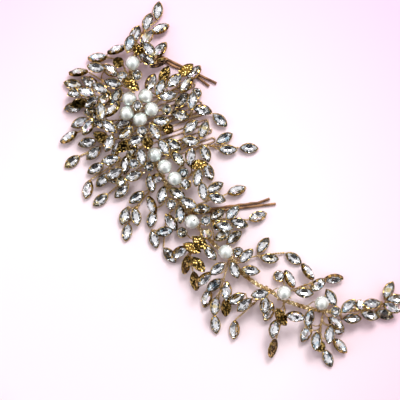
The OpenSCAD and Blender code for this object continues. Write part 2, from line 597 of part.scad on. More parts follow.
// A setting: a cup with a straight wall round its crystal.
module setting(row) {
    lower = -body_height / 2;
    play = 2 * stone_clearance;
    if (row[0] == LEAF) {
        difference() {
            translate([0, 0, lower]) linear_extrude(setting_depth) marquise(setting_length, setting_width);
            translate([0, 0, lower + setting_floor]) linear_extrude(body_height)
                marquise(stone_length + play, stone_width + play);
        }
    }
    if (row[0] == ROUND) {
        difference() {
            translate([0, 0, lower]) cylinder(h = setting_depth, d = setting_round);
            translate([0, 0, lower + setting_floor]) cylinder(h = body_height, d = round_stone + play);
        }
    }
}

// A binding that holds something to the stem.
module stem_binding(span, share) {
    along = stem_along(span);
    translate(on_stem(span, share)) rotate([0, 90, atan2(along.y, along.x)]) difference() {
        cylinder(h = binding_length, d = binding, center = true);
        cylinder(h = binding_length + 2, d = binding_bore, center = true);
    }
}

// Where the stalk that ends at p starts: on the spray's middle wire, or on top of its binding.
function stalk_start(spray, end, p) = let (
    root = spray_root(spray),
    bend = spray_bend(spray),
    top = binding_top(spray),
    foot = nearer(p, stalk_foot(root, bend, p), stalk_foot(bend, end, p))
) norm(p - top) < stone_length * 0.75 ? nearer(p, foot, top) : foot;

module spray_settings(spray, rows) {
    end = stalk_end(rows[0]);
    top = binding_top(spray);
    starts = [for (row = rows) stalk_start(spray, end, stalk_end(row))];
    color("goldenrod") {
        stem_binding(spray[0], spray[1]);
        wire([spray_root(spray), spray_bend(spray), end], spine_wire);
        for (row = rows) place(row) setting(row);
        for (i = [1:len(rows) - 1]) {
            p = stalk_end(rows[i]);
            rod(starts[i], p, stalk_wire);
            collar(p, p - starts[i], stalk_wire);
        }
        if (min([for (i = [1:len(rows) - 1]) norm(starts[i] - top)]) == 0) collar(top, [0, 0, 1], stalk_wire);
    }
}

module crystal_field(sprays) {
    for (i = [sprays[0]:sprays[1]], row = LAID[i]) place(row) crystal(row);
}

// Direction of the wire through a pearl.
function pearl_axis(i) = i >= FLOWER_PEARLS[0] && i <= FLOWER_PEARLS[1]
    ? unit(pearl_middle(i) - flower_hub())
    : [for (w = PEARL_WIRES) if (i >= w[2] && i <= w[3]) heading_vector(w[4], w[5])][0];

FLOWER_ROW = laid(FLOWER_STONE, lifted(FLOWER_STONE));

function flower_hub() = [FLOWER.x * stone_length, FLOWER.y * stone_length, pearl_middle(FLOWER_PEARLS[0]).z];

module drilled_pearl(i) {
    axis = pearl_axis(i);
    color("ivory") translate(pearl_middle(i)) aimed(axis) difference() {
        sphere(d = pearl, $fn = 96);
        cylinder(h = pearl + 2, d = pearl_hole, center = true);
    }
}

module flower_setting() {
    hub = flower_hub();
    along = stem_along(FLOWER_BINDING[0]);
    base = on_stem(FLOWER_BINDING[0], FLOWER_BINDING[1]) + [0, 0, binding / 2 + spine_wire / 6];
    cup = row_middle(FLOWER_ROW) - [0, 0, body_height / 2 - setting_floor / 2];
    color("goldenrod") {
        stem_binding(FLOWER_BINDING[0], FLOWER_BINDING[1]);
        wire([base, hub, cup], spine_wire);
        collar(hub, [0, 0, 1], 2 * spine_wire);
        for (i = [FLOWER_PEARLS[0]:FLOWER_PEARLS[1]]) {
            wire([hub, pearl_middle(i) + (pearl / 2 + pearl_reach) * pearl_axis(i)], pearl_wire);
        }
        place(FLOWER_ROW) setting(FLOWER_ROW);
    }
}

// The strap that a pin slides into, and the post that joins it to the stem.
module pin_strap(pin) {
    p = on_stem(pin[0], pin[1]);
    hole = pin_wire + 2 * strap_clearance;
    translate([p.x, p.y, 0]) {
        translate([0, 0, pin_height]) rotate([90, 0, pin[2] + 90])
            translate([0, 0, -binding_length / 2]) linear_extrude(binding_length) difference() {
                slot(hole + 2 * strap_wall);
                slot(hole);
            }
        translate([0, 0, 2 * pin_height - strap_wall / 2])
            cylinder(h = stem_height - 2 * pin_height, d = stem / 2);
    }
}

module slot(width) {
    square([pin_grip + width, width], center = true);
}

module main_stem() {
    color("peru") {
        tube(STEM, stem);
        for (w = PEARL_WIRES) {
            axis = heading_vector(w[4], w[5]);
            reach = pearl / 2 + pearl_reach;
            wire([
                on_stem(w[0], w[1]),
                pearl_middle(w[2]) - reach * axis,
                pearl_middle(w[3]) + (w[5] == 0 ? reach : pearl / 4) * axis
            ], pearl_wire);
        }
        for (pin = PINS) pin_strap(pin);
    }
}

// A half ring in the plane of the surface, open toward -Y.
module bent_wire(radius, thickness) {
    rotate_extrude(angle = 180) translate([radius, 0]) circle(d = thickness);
}

// The comb is one wire bent to and fro, soldered under a straight spine.
module wire_comb() {
    leg_end = tooth_length - leg_gap / 2 - comb_wire / 2;
    loop = (tooth_pitch - leg_gap) / 2;
    loop_end = loop_length - loop - comb_wire / 2;
    last = (teeth - 1) / 2;
    color("rosybrown") {
        rotate([0, 0, comb_turn]) {
            for (i = [-last:last]) translate([i * tooth_pitch, 0, comb_wire / 2]) {
                translate([0, leg_end]) bent_wire(leg_gap / 2, comb_wire);
                for (side = [-1, 1]) translate([side * leg_gap / 2, 0]) {
                    back = side * i == last ? comb_wire : loop_end;
                    translate([0, -back]) rotate([-90, 0, 0]) cylinder(h = back + leg_end, d = comb_wire);
                }
            }
            for (i = [0.5 - last:last - 0.5]) translate([i * tooth_pitch, -loop_end, comb_wire / 2])
                rotate([0, 0, 180]) bent_wire(loop, comb_wire);
            spine_reach = last * tooth_pitch + leg_gap;
            rod([-spine_reach, 0, spine_height], [spine_reach, 0, spine_height], comb_wire);
        }
        for (share = COMB_BINDINGS) {
            p = on_stem(COMB_SPAN, share);
            stem_binding(COMB_SPAN, share);
            post_top = stem_height - binding / 2 + binding_wall / 2;
            rod([p.x, p.y, spine_height], [p.x, p.y, post_top], comb_wire * 0.9);
        }
    }
}

// A bobby pin of flat wire: a straight leg and a shorter crimped leg from one bend.
module bobby_pin(pin) {
    p = on_stem(pin[0], pin[1]);
    start = -pin[3] * stone_length;
    bend = start + pin_bend / 2 + pin_wire / 2;
    tip = start + pin_length;
    points = [
        [tip, pin_grip / 2],
        [bend + pin_wire, pin_grip / 2],
        for (a = [0:15:180]) [bend - pin_bend / 2 * sin(a), pin_bend / 2 * cos(a)],
        [bend + pin_wire, -pin_grip / 2],
        for (c = CRIMPS) [start + c[0] * pin_length, -c[1] * pin_grip],
        [tip - pin_step, pin_grip / 2 - pin_mouth]
    ];
    n = len(points) - 1;
    color("sienna") translate([p.x, p.y, pin_height]) rotate([0, 0, pin[2]])
        mirror([0, pin[4] > 0 ? 1 : 0, 0]) linear_extrude(pin_wire, center = true) polygon([
            for (i = [0:n]) points[i] + pin_wire / 2 * path_across(points, i),
            for (i = [n:-1:0]) points[i] - pin_wire / 2 * path_across(points, i)
        ]);
}
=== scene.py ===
import bpy
import bmesh
import math
import numpy as np
from mathutils import Matrix, Vector
from mathutils.bvhtree import BVHTree


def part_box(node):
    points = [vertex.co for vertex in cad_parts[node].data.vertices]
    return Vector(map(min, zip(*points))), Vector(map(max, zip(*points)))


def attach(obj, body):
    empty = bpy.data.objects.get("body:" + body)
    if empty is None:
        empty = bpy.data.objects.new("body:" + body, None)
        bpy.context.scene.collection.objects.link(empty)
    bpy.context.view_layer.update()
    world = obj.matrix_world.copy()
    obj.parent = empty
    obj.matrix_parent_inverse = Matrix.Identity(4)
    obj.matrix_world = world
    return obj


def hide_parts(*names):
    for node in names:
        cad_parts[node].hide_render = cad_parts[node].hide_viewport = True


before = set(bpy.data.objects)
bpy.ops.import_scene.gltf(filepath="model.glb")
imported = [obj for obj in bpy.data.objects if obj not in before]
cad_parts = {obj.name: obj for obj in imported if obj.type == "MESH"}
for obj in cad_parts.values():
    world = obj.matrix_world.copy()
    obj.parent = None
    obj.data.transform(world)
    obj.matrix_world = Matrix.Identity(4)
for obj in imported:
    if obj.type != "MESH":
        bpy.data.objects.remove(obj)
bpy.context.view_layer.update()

print("frame loaded")

# Pieces are worked out in millimetres and brought to metres when they are finished.
millimetre = 0.001

# Materials


def linearHex(text):
    # sRGB hex to linear colour
    channels = [int(text[i:i + 2], 16) / 255 for i in (0, 2, 4)]
    return tuple(c / 12.92 if c <= 0.04045 else ((c + 0.055) / 1.055) ** 2.4 for c in channels) + (1.0,)


def addNode(tree, kind, settings=None, links=None):
    node = tree.nodes.new(kind)
    for key, value in (settings or {}).items():
        if isinstance(key, str) and hasattr(node, key):
            setattr(node, key, value)
        else:
            node.inputs[key].default_value = value
    for socket, source in (links or {}).items():
        tree.links.new(source, node.inputs[socket])
    return node


def newMaterial(name, surface):
    # surface holds settings of the Principled shader
    material = bpy.data.materials.new(name)
    material.use_nodes = True
    tree = material.node_tree
    tree.nodes.clear()
    shader = addNode(tree, "ShaderNodeBsdfPrincipled", surface)
    addNode(tree, "ShaderNodeOutputMaterial", links={"Surface": shader.outputs["BSDF"]})
    place = addNode(tree, "ShaderNodeTexCoord").outputs["Object"]
    return material, tree, shader, place


def setRamp(ramp, stops):
    # stops are (position, hex)
    elements = ramp.color_ramp.elements
    while len(elements) < len(stops):
        elements.new(0.5)
    for element, (position, value) in zip(elements, stops):
        element.position = position
        element.color = linearHex(value)


def mixColours(node):
    # the two colours that go into a Mix node and the one that comes out
    first, second = [i for i in node.inputs if i.type == "RGBA"]
    return first, second, next(o for o in node.outputs if o.type == "RGBA")


def cloudedColour(tree, place, size, detail, stops):
    # a colour that wanders between the stops, in clouds of a size in millimetres
    clouds = addNode(tree, "ShaderNodeTexNoise", {"Scale": 1 / (size * millimetre), "Detail": detail},
                     {"Vector": place})
    tint = addNode(tree, "ShaderNodeValToRGB", links={"Fac": clouds.outputs["Fac"]})
    setRamp(tint, stops)
    return tint.outputs["Color"]


def fineRelief(tree, shader, place, size, strength, depth):
    # a slight unevenness in the bump, its size and depth in millimetres
    grain = addNode(tree, "ShaderNodeTexNoise", {"Scale": 1 / (size * millimetre), "Detail": 2.0},
                    {"Vector": place})
    bump = addNode(tree, "ShaderNodeBump", {"Strength": strength, "Distance": depth * millimetre},
                   {"Height": grain.outputs["Fac"]})
    tree.links.new(bump.outputs["Normal"], shader.inputs["Normal"])


metalLooks = {
    # gold-plated brass, stamped and barrel polished: bright yellow flashes, dark in the folds
    "platedBrassSettings": {"dark": "5E451A", "light": "D2B26C", "cloudSize": 4.0, "markSize": 0.6,
                            "roughness": (0.08, 0.24), "bump": 0.25, "metallic": 1.0},
    # gilt copper wire, drawn and twisted: paler, pinkish gold with soft streaks
    "giltCopperWire": {"dark": "A88654", "light": "F0D8A8", "cloudSize": 6.0, "markSize": 0.5,
                       "roughness": (0.2, 0.38), "bump": 0.3, "metallic": 1.0},
    # gilt brass cord of the stem, plaited: the palest gold of the vine
    "giltBrassPlait": {"dark": "BE9A5E", "light": "FBEBC4", "cloudSize": 5.0, "markSize": 0.5,
                       "roughness": (0.18, 0.34), "bump": 0.3, "metallic": 1.0},
    # copper-gilt steel wire of the comb, drawn: rose gold
    "roseGiltCombWire": {"dark": "A48468", "light": "E4CAAC", "cloudSize": 7.0, "markSize": 0.5,
                         "roughness": (0.22, 0.4), "bump": 0.3, "metallic": 1.0},
    # spring steel of the bobby pins, bronze lacquered: satin brown with a warm glint
    "bronzeLacqueredPin": {"dark": "60422E", "light": "9C7452", "cloudSize": 5.0, "markSize": 0.8,
                           "roughness": (0.32, 0.5), "bump": 0.4, "metallic": 0.7},
}
# where the two colours stand in the clouds, and how fine the clouds and the marks are
tarnish = {"darkStop": 0.35, "lightStop": 0.62, "detail": 4.0, "markDetail": 3.0, "markDepth": 0.04}


def metalMaterial(name, look):
    # tarnish clouds over the colour, handling marks in the gloss and in the bump
    material, tree, shader, place = newMaterial(name, {"Metallic": look["metallic"]})
    stops = [(tarnish["darkStop"], look["dark"]), (tarnish["lightStop"], look["light"])]
    tree.links.new(cloudedColour(tree, place, look["cloudSize"], tarnish["detail"], stops),
                   shader.inputs["Base Color"])
    marks = addNode(tree, "ShaderNodeTexNoise",
                    {"Scale": 1 / (look["markSize"] * millimetre), "Detail": tarnish["markDetail"]},
                    {"Vector": place})
    gloss = addNode(tree, "ShaderNodeMapRange",
                    {"To Min": look["roughness"][0], "To Max": look["roughness"][1]},
                    {"Value": marks.outputs["Fac"]})
    tree.links.new(gloss.outputs["Result"], shader.inputs["Roughness"])
    bump = addNode(tree, "ShaderNodeBump",
                   {"Strength": look["bump"], "Distance": tarnish["markDepth"] * millimetre},
                   {"Height": marks.outputs["Fac"]})
    tree.links.new(bump.outputs["Normal"], shader.inputs["Normal"])
    return material


metals = {name: metalMaterial(name, look) for name, look in metalLooks.items()}

# lumps stamped in the backs of the cups: lump and seam reach from a lump's middle, as shares of its size; the
# seams between the lumps are darkened with painted shade
backStamp = {"lumpSize": 1.3, "unevenness": 0.7, "top": -1.2, "lump": (0.0, 0.6), "seam": (0.44, 0.58),
             "paintedSeamShade": "32240C", "strength": 0.8, "depth": 0.3}


def embossBacks(material):
    # cupPlace is each point's place in its own cup, in millimetres; above the back the walls stay plain
    tree = material.node_tree
    shader = next(n for n in tree.nodes if n.type == "BSDF_PRINCIPLED")
    place = addNode(tree, "ShaderNodeAttribute", {"attribute_name": "cupPlace"}).outputs["Vector"]
    height = addNode(tree, "ShaderNodeSeparateXYZ", links={"Vector": place}).outputs["Z"]
    isWall = addNode(tree, "ShaderNodeMath", {"operation": "GREATER_THAN", 1: backStamp["top"]}, {0: height})
    flat = addNode(tree, "ShaderNodeVectorMath", {"operation": "MULTIPLY", 1: (1, 1, 0)}, {0: place})
    cells = addNode(tree, "ShaderNodeTexVoronoi",
                    {"Scale": 1 / backStamp["lumpSize"], "Randomness": backStamp["unevenness"]},
                    {"Vector": flat.outputs["Vector"]})

    def fadeOut(reach):
        # 1 up to the first reach and on the walls, 0 past the second
        inside = addNode(tree, "ShaderNodeMapRange",
                         {"From Min": reach[0], "From Max": reach[1], "To Min": 1.0, "To Max": 0.0},
                         {"Value": cells.outputs["Distance"]})
        return addNode(tree, "ShaderNodeMath", {"operation": "MAXIMUM"},
                       {0: inside.outputs["Result"], 1: isWall.outputs["Value"]}).outputs["Value"]

    # painted shade: towards the seams between the lumps the colour is mixed with a dark brown
    dark, plain, result = mixColours(addNode(tree, "ShaderNodeMix", {"data_type": "RGBA"},
                                             {0: fadeOut(backStamp["seam"])}))
    dark.default_value = linearHex(backStamp["paintedSeamShade"])
    tree.links.new(shader.inputs["Base Color"].links[0].from_socket, plain)
    tree.links.new(result, shader.inputs["Base Color"])
    marks = shader.inputs["Normal"].links[0].from_socket
    press = addNode(tree, "ShaderNodeBump",
                    {"Strength": backStamp["strength"], "Distance": backStamp["depth"] * millimetre},
                    {"Height": fadeOut(backStamp["lump"]), "Normal": marks})
    tree.links.new(press.outputs["Normal"], shader.inputs["Normal"])


embossBacks(metals["platedBrassSettings"])

crystalLook = {"glass": "FBFDFF", "ior": 1.6, "veilSize": 3.85, "veil": (0.55, 0.8), "veilRoughness": 0.06}


def crystalMaterial():
    # lead glass, cut and fire polished: clear and glossy, with a faint veil here and there
    material, tree, shader, place = newMaterial("cutLeadGlass", {
        "Base Color": linearHex(crystalLook["glass"]), "IOR": crystalLook["ior"], "Transmission Weight": 1.0})
    veil = addNode(tree, "ShaderNodeTexNoise",
                   {"Scale": 1 / (crystalLook["veilSize"] * millimetre), "Detail": 2.0}, {"Vector": place})
    gloss = addNode(tree, "ShaderNodeMapRange",
                    {"From Min": crystalLook["veil"][0], "From Max": crystalLook["veil"][1],
                     "To Max": crystalLook["veilRoughness"]}, {"Value": veil.outputs["Fac"]})
    tree.links.new(gloss.outputs["Result"], shader.inputs["Roughness"])
    return material


backLooks = {
    # silvered back of a crystal: mirror bright, with faint blue and gold flashes
    "silveredCrystalBack": {
        "size": 5.26, "detail": 1.0, "metallic": 1.0, "roughness": 0.04,
        "stops": [(0.28, "BFDDEE"), (0.36, "FAFBFC"), (0.62, "FAFBFC"), (0.72, "EEDCA8")]},
    # gilt lacquer over the silvering: dull dark gold, seen through the piercings of the cups
    "giltBackLacquer": {
        "size": 1.43, "detail": 2.0, "metallic": 0.4, "roughness": 0.5,
        "stops": [(0.35, "3A290F"), (0.7, "6B4D1C")]},
}


def backMaterial(name, look):
    surface = {"Metallic": look["metallic"], "Roughness": look["roughness"]}
    material, tree, shader, place = newMaterial(name, surface)
    tree.links.new(cloudedColour(tree, place, look["size"], look["detail"], look["stops"]),
                   shader.inputs["Base Color"])
    return material


# rim is painted shade: the colour from where the pearl faces the camera out to its rim
# the ripples are drawn coarser than real ones, so that they show
pearlLook = {"rim": [(0.0, "FDFFFE"), (0.5, "F5F9F6"), (0.8, "DCDED6"), (1.0, "9C9282")],
             "clouds": [(0.35, "EEF6F3"), (0.65, "FCFDFA")], "cloudSize": 5.88, "rippleSize": 1.11,
             "rippleStrength": 0.06, "rippleDepth": 0.03,
             "surface": {"Metallic": 0.55, "Roughness": 0.25, "Coat Weight": 0.8, "Coat Roughness": 0.06}}


def pearlMaterial():
    # glass pearl under nacre lacquer: ivory, a glassy highlight over a satin one, and painted shade that
    # darkens its colour towards the rim as seen from the camera
    material, tree, shader, place = newMaterial("nacreLacqueredPearl", pearlLook["surface"])
    # painted shade: near white where the pearl faces the camera, darker grey-beige towards its rim
    facing = addNode(tree, "ShaderNodeLayerWeight", {"Blend": 0.5}).outputs["Facing"]
    rim = addNode(tree, "ShaderNodeValToRGB", links={"Fac": facing})
    setRamp(rim, pearlLook["rim"])
    first, second, result = mixColours(addNode(tree, "ShaderNodeMix",
                                               {"data_type": "RGBA", "blend_type": "MULTIPLY", 0: 1.0}))
    tree.links.new(rim.outputs["Color"], first)
    tree.links.new(cloudedColour(tree, place, pearlLook["cloudSize"], 2.0, pearlLook["clouds"]), second)
    tree.links.new(result, shader.inputs["Base Color"])
    fineRelief(tree, shader, place, pearlLook["rippleSize"], pearlLook["rippleStrength"],
               pearlLook["rippleDepth"])
    return material


# the middle of the painted pool of light on the paper, and the distances in millimetres over which it fades
floorLook = {"paintedLightMiddle": (62.0, -62.0), "from": 90.0, "to": 210.0, "tints": [(0.0, "FBE9EF"), (1.0, "F6C4DC")],
             "fibreSize": 0.67, "fibreStrength": 0.1, "fibreDepth": 0.03, "roughness": 0.9}


def floorMaterial():
    # matt paper under the vine: pale pink, with a painted pool of light that is palest towards the lower left
    # of the view and fades to pinker further out
    material, tree, shader, place = newMaterial("matPaperFloor", {"Roughness": floorLook["roughness"]})
    paintedLightMiddle = Vector((floorLook["paintedLightMiddle"][0], floorLook["paintedLightMiddle"][1], 0.0)) * millimetre
    away = addNode(tree, "ShaderNodeVectorMath", {"operation": "DISTANCE", 1: paintedLightMiddle}, {0: place})
    reach = addNode(tree, "ShaderNodeMapRange",
                    {"From Min": floorLook["from"] * millimetre, "From Max": floorLook["to"] * millimetre},
                    {"Value": away.outputs["Value"]})
    tint = addNode(tree, "ShaderNodeValToRGB", links={"Fac": reach.outputs["Result"]})
    setRamp(tint, floorLook["tints"])
    tree.links.new(tint.outputs["Color"], shader.inputs["Base Color"])
    fineRelief(tree, shader, place, floorLook["fibreSize"], floorLook["fibreStrength"],
               floorLook["fibreDepth"])
    return material


crystalMaterials = [crystalMaterial()] + [backMaterial(name, look) for name, look in backLooks.items()]
settingMaterials = [metals["platedBrassSettings"], metals["giltCopperWire"]]
pearlNacre = pearlMaterial()
print("materials made")

# Wires

# points to a bend, an arc, a twist and a turn of a coil, and the share of a straight that a bend may take
wireDetail = {"bend": 8, "arc": 13, "twist": 9, "coil": 14, "bendShare": 0.48}
upright = (0, 0.01, 1)  # a hair off straight up, so that a coil has sides to go by


def unitVector(v):
    return v / max(np.linalg.norm(v), 1e-9)


def roundedPath(points, reach):
    # each corner becomes a curve that starts and ends within reach of it
    points = [np.array(p, float) for p in points]
    path = [points[0]]
    for before, corner, after in zip(points, points[1:], points[2:]):
        r = min(reach, wireDetail["bendShare"] * np.linalg.norm(corner - before),
                wireDetail["bendShare"] * np.linalg.norm(after - corner))
        start = corner + r * unitVector(before - corner)
        end = corner + r * unitVector(after - corner)
        for t in np.linspace(0, 1, wireDetail["bend"] + 1):
            path.append((1 - t) ** 2 * start + 2 * t * (1 - t) * corner + t * t * end)
    path.append(points[-1])
    return np.array(path)


def evenPath(path, step):
    # the path again in even steps, with each point's distance along it
    path = np.array(path, float)
    lengths = np.concatenate([[0], np.cumsum(np.linalg.norm(np.diff(path, axis=0), axis=1))])
    count = max(2, int(math.ceil(lengths[-1] / step)) + 1)
    at = np.linspace(0, lengths[-1], count)
    return np.stack([np.interp(at, lengths, path[:, k]) for k in range(3)], 1), at


def pathFrames(path):
    # two directions square to the path at each point, carried along it without twist
    tangents = np.gradient(path, axis=0)
    tangents /= np.linalg.norm(tangents, axis=1)[:, None]
    side = np.cross((0.0, 0.0, 1.0), tangents[0])
    if np.linalg.norm(side) < 0.05:
        side = np.cross((1.0, 0.0, 0.0), tangents[0])  # the path starts nearly upright
    sides = []
    for tangent in tangents:
        side = unitVector(side - tangent * (side @ tangent))
        sides.append(side)
    sides = np.array(sides)
    return sides, np.cross(tangents, sides)


def twistedPair(points, thickness, pitch, reach=3.0, turn=0.0):
    # two strands wound round a path, together as thick as the wire
    path, at = evenPath(roundedPath(points, reach), pitch / wireDetail["twist"])
    sides, ups = pathFrames(path)
    radius = thickness / 4
    strands = []
    for k in (0, 1):
        angle = 2 * math.pi * at / pitch + k * math.pi + turn
        offset = np.cos(angle)[:, None] * sides + np.sin(angle)[:, None] * ups
        strands.append((path + radius * offset, radius))
    return strands


def coilStrand(centre, axis, radius, length, wire, wide=None):
    # a wire wrapped closely round something; wide is its radius sideways where the coil is oval
    axis = unitVector(np.array(axis, float))
    across = unitVector(np.cross((0, 0, 1.0), axis))
    up = np.cross(axis, across)
    turns = length / wire
    angle = np.linspace(0, 2 * math.pi * turns, int(wireDetail["coil"] * turns) + 1)
    along = np.linspace(-length / 2 + wire / 2, length / 2 - wire / 2, len(angle))
    points = (np.array(centre, float) + along[:, None] * axis
              + (wide or radius) * np.cos(angle)[:, None] * across + radius * np.sin(angle)[:, None] * up)
    return points, wire / 2


def sweepStrands(strands, sides=6):
    # every strand becomes a round tube, all of them in one mesh
    curve = bpy.data.curves.new("strands", "CURVE")
    curve.dimensions = "3D"
    curve.bevel_depth = 1.0
    curve.bevel_resolution = (sides - 4) // 2
    curve.use_fill_caps = True
    for points, radius in strands:
        spline = curve.splines.new("POLY")
        spline.points.add(len(points) - 1)
        spline.points.foreach_set("co", np.c_[points, np.ones(len(points))].ravel())
        spline.points.foreach_set("radius", np.full(len(points), radius))
        spline.use_smooth = True
    holder = bpy.data.objects.new("strands", curve)
    bpy.context.collection.objects.link(holder)
    mesh = bpy.data.meshes.new_from_object(holder.evaluated_get(bpy.context.evaluated_depsgraph_get()))
    bpy.data.objects.remove(holder)
    bpy.data.curves.remove(curve)
    return mesh


def ofKind(geometry, kind):
    # the vertices, edges or faces among what an operator gives back
    return [g for g in geometry if isinstance(g, kind)]


def closeBody(body, name):
    # a bmesh becomes a mesh, and is freed
    mesh = bpy.data.meshes.new(name)
    body.to_mesh(mesh)
    body.free()
    return mesh


def addMesh(body, mesh, matrix=None, slot=None):
    # adds a mesh to a bmesh, placed, and with its faces in a material slot where one is given
    first = len(body.faces)
    if matrix is not None:
        mesh = mesh.copy()
        mesh.transform(matrix)
    body.from_mesh(mesh)
    if slot is not None:
        body.faces.ensure_lookup_table()
        for face in body.faces[first:]:
            face.material_index = slot


def finishPiece(name, body, nodes, materials):
    # brings a piece to metres and puts it in the place of its nodes
    bmesh.ops.scale(body, vec=(millimetre,) * 3, verts=body.verts)
    mesh = closeBody(body, name)
    piece = bpy.data.objects.new(name, mesh)
    bpy.context.collection.objects.link(piece)
    for material in materials:
        mesh.materials.append(material)
    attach(piece, "root")
    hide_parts(*nodes)
    return piece


# The crystals: one facet-cut stone of each outline, set where the frame's stones are

# each row of facets has its share of the outline and of the crown's or the pavilion's height; a facet is
# silvered when its normal's Z is under downward
stone = {"length": 10.0, "width": 5.0, "round": 5.3, "crown": 1.0, "pavilion": 1.2, "girdle": 0.25,
         "clearance": 0.12, "corners": 16, "facets": 8, "table": 0.55, "crownRow": (0.83, 0.48),
         "backRow": (0.74, 0.6), "keel": (0.2, 0.93), "downward": -0.12, "lacquerGap": 0.03}
# wall is the room for the metal, and metal its thickness; sides is for a round cup and a marquise one, and
# the piercings lie between the heights of holeRow
cup = {"wall": 0.3, "metal": 0.24, "floor": 0.4, "sides": {True: 12, False: 16}, "notch": 0.25,
       "holeRow": (0.38, 1.3), "stampInset": 0.55, "stampDepth": 0.16}
# the two steps of a tooth: how far it leans in, how far it rises and the share of its width that is left
cup["tooth"] = ((0.08, cup["notch"], 0.78), (0.5, 0.32, 0.75))
cup["depth"] = cup["floor"] + stone["clearance"] + stone["pavilion"] + stone["girdle"]
bodyHeight = cup["depth"] + stone["crown"]
stoneBack = -bodyHeight / 2 + cup["floor"] + stone["clearance"]
stoneBelt = stoneBack + stone["pavilion"]
stoneTable = stoneBelt + stone["girdle"] + stone["crown"]


def ringPoint(isRound, length, width, t):
    # a point of a stone's outline, t running once round it, for the pointed oval from one tip
    if isRound:
        return Vector((length / 2 * math.cos(2 * math.pi * t), length / 2 * math.sin(2 * math.pi * t), 0))
    r = (length * length + width * width) / (4 * width)
    side = 1 if t < 0.5 else -1
    a = math.asin(length / 2 / r) * (4 * (t if t < 0.5 else t - 0.5) - 1)
    return Vector((-side * r * math.sin(a), -side * (r * math.cos(a) - r + width / 2), 0))


def cutStone(isRound):
    length, width = (stone["round"], stone["round"]) if isRound else (stone["length"], stone["width"])
    body = bmesh.new()

    def ring(count, share, height, shift=0.0):
        for i in range(count):
            p = ringPoint(isRound, length, width, ((i + shift) / count) % 1.0) * share
            body.verts.new((p.x, p.y, height))

    ring(stone["corners"], 1.0, stoneBelt)
    ring(stone["corners"], 1.0, stoneBelt + stone["girdle"])
    share, rise = stone["crownRow"]
    ring(stone["facets"], share, stoneBelt + stone["girdle"] + rise * stone["crown"], shift=0.5)
    ring(stone["facets"], stone["table"], stoneTable)
    # steep outer facets sparkle, and shallow middle ones mirror either the light or the dark of the room
    share, drop = stone["backRow"]
    ring(stone["facets"], share, stoneBelt - drop * stone["pavilion"], shift=0.5)
    if not isRound:
        share, drop = stone["keel"]
        for x in (-share, share):
            body.verts.new((x * length, 0, stoneBelt - drop * stone["pavilion"]))
    body.verts.new((0, 0, stoneBack))
    made = bmesh.ops.convex_hull(body, input=body.verts)
    spare = ofKind(made["geom_interior"] + made["geom_unused"], bmesh.types.BMVert)
    bmesh.ops.delete(body, geom=list(set(spare)), context="VERTS")
    # triangles that lie in one plane become one facet
    bmesh.ops.dissolve_limit(body, angle_limit=math.radians(1.5), verts=body.verts, edges=body.edges)
    bmesh.ops.recalc_face_normals(body, faces=body.faces)
    # the glass, the silvering and a skin of lacquer just below that
    for face in body.faces:
        face.smooth = False
        face.material_index = 1 if face.normal.z < stone["downward"] else 0
    backs = [f for f in body.faces if f.material_index == 1]
    skin = bmesh.ops.duplicate(body, geom=backs)["geom"]
    bmesh.ops.translate(body, vec=(0, 0, -stone["lacquerGap"]), verts=ofKind(skin, bmesh.types.BMVert))
    for face in ofKind(skin, bmesh.types.BMFace):
        face.material_index = 2
    return closeBody(body, "cutStone")


def clawCup(isRound):
    # a stamped cup: pierced wall, toothed rim bent over the stone, embossed back
    spare = 2 * (cup["wall"] + stone["clearance"])
    length = (stone["round"] if isRound else stone["length"]) + spare
    width = (stone["round"] if isRound else stone["width"]) + spare
    count = cup["sides"][isRound]
    low = -bodyHeight / 2
    rim = low + cup["depth"] - cup["notch"]
    corners = [ringPoint(isRound, length, width, i / count) for i in range(count)]
    middles = [(p + q) / 2 for p, q in zip(corners, corners[1:] + corners[:1])]
    body = bmesh.new()
    floor = body.faces.new([body.verts.new(p + Vector((0, 0, low))) for p in corners])
    floor.normal_update()
    if floor.normal.z > 0:
        floor.normal_flip()

    def sector(place):
        # which side of the outline a face or an edge of the wall stands on
        return min(range(count), key=lambda i: (middles[i].xy - place.xy).length)

    def grow(edges):
        made = bmesh.ops.extrude_edge_only(body, edges=edges)["geom"]
        return [ofKind(made, kind) for kind in (bmesh.types.BMVert, bmesh.types.BMEdge, bmesh.types.BMFace)]

    edges = list(floor.edges)
    walls = []
    for height in (low + cup["holeRow"][0], low + cup["holeRow"][1], rim):
        verts, edges, faces = grow(edges)
        for v in verts:
            v.co.z = height
        walls.append(faces)
    # every other side is pierced between the hole row's two heights, and the sides between bear the teeth
    pierced = [f for f in walls[1] if sector(f.calc_center_median()) % 2 == 1]
    teeth = [e for e in edges if sector((e.verts[0].co + e.verts[1].co) / 2) % 2 == 0]
    for lean, rise, narrow in cup["tooth"]:
        grown = []
        for edge in teeth:
            verts, tops, faces = grow([edge])
            middle = (verts[0].co + verts[1].co) / 2
            inward = -Vector((middle.x * (width / length) ** 2, middle.y, 0)).normalized()
            for v in verts:
                v.co = middle + (v.co - middle) * narrow + inward * lean
                v.co.z += rise
            grown += tops
        teeth = grown
    bmesh.ops.inset_individual(body, faces=[floor], thickness=cup["stampInset"], depth=-cup["stampDepth"])
    bmesh.ops.delete(body, geom=pierced, context="FACES_ONLY")
    bmesh.ops.recalc_face_normals(body, faces=body.faces)
    if floor.normal.z > 0:
        bmesh.ops.reverse_faces(body, faces=body.faces)
    bmesh.ops.solidify(body, geom=body.faces, thickness=cup["metal"])
    cupPlace = body.verts.layers.float_vector.new("cupPlace")
    for v in body.verts:
        v[cupPlace] = v.co
    return closeBody(body, "clawCup")


stoneMeshes = {isRound: cutStone(isRound) for isRound in (False, True)}
cupMeshes = {isRound: clawCup(isRound) for isRound in (False, True)}


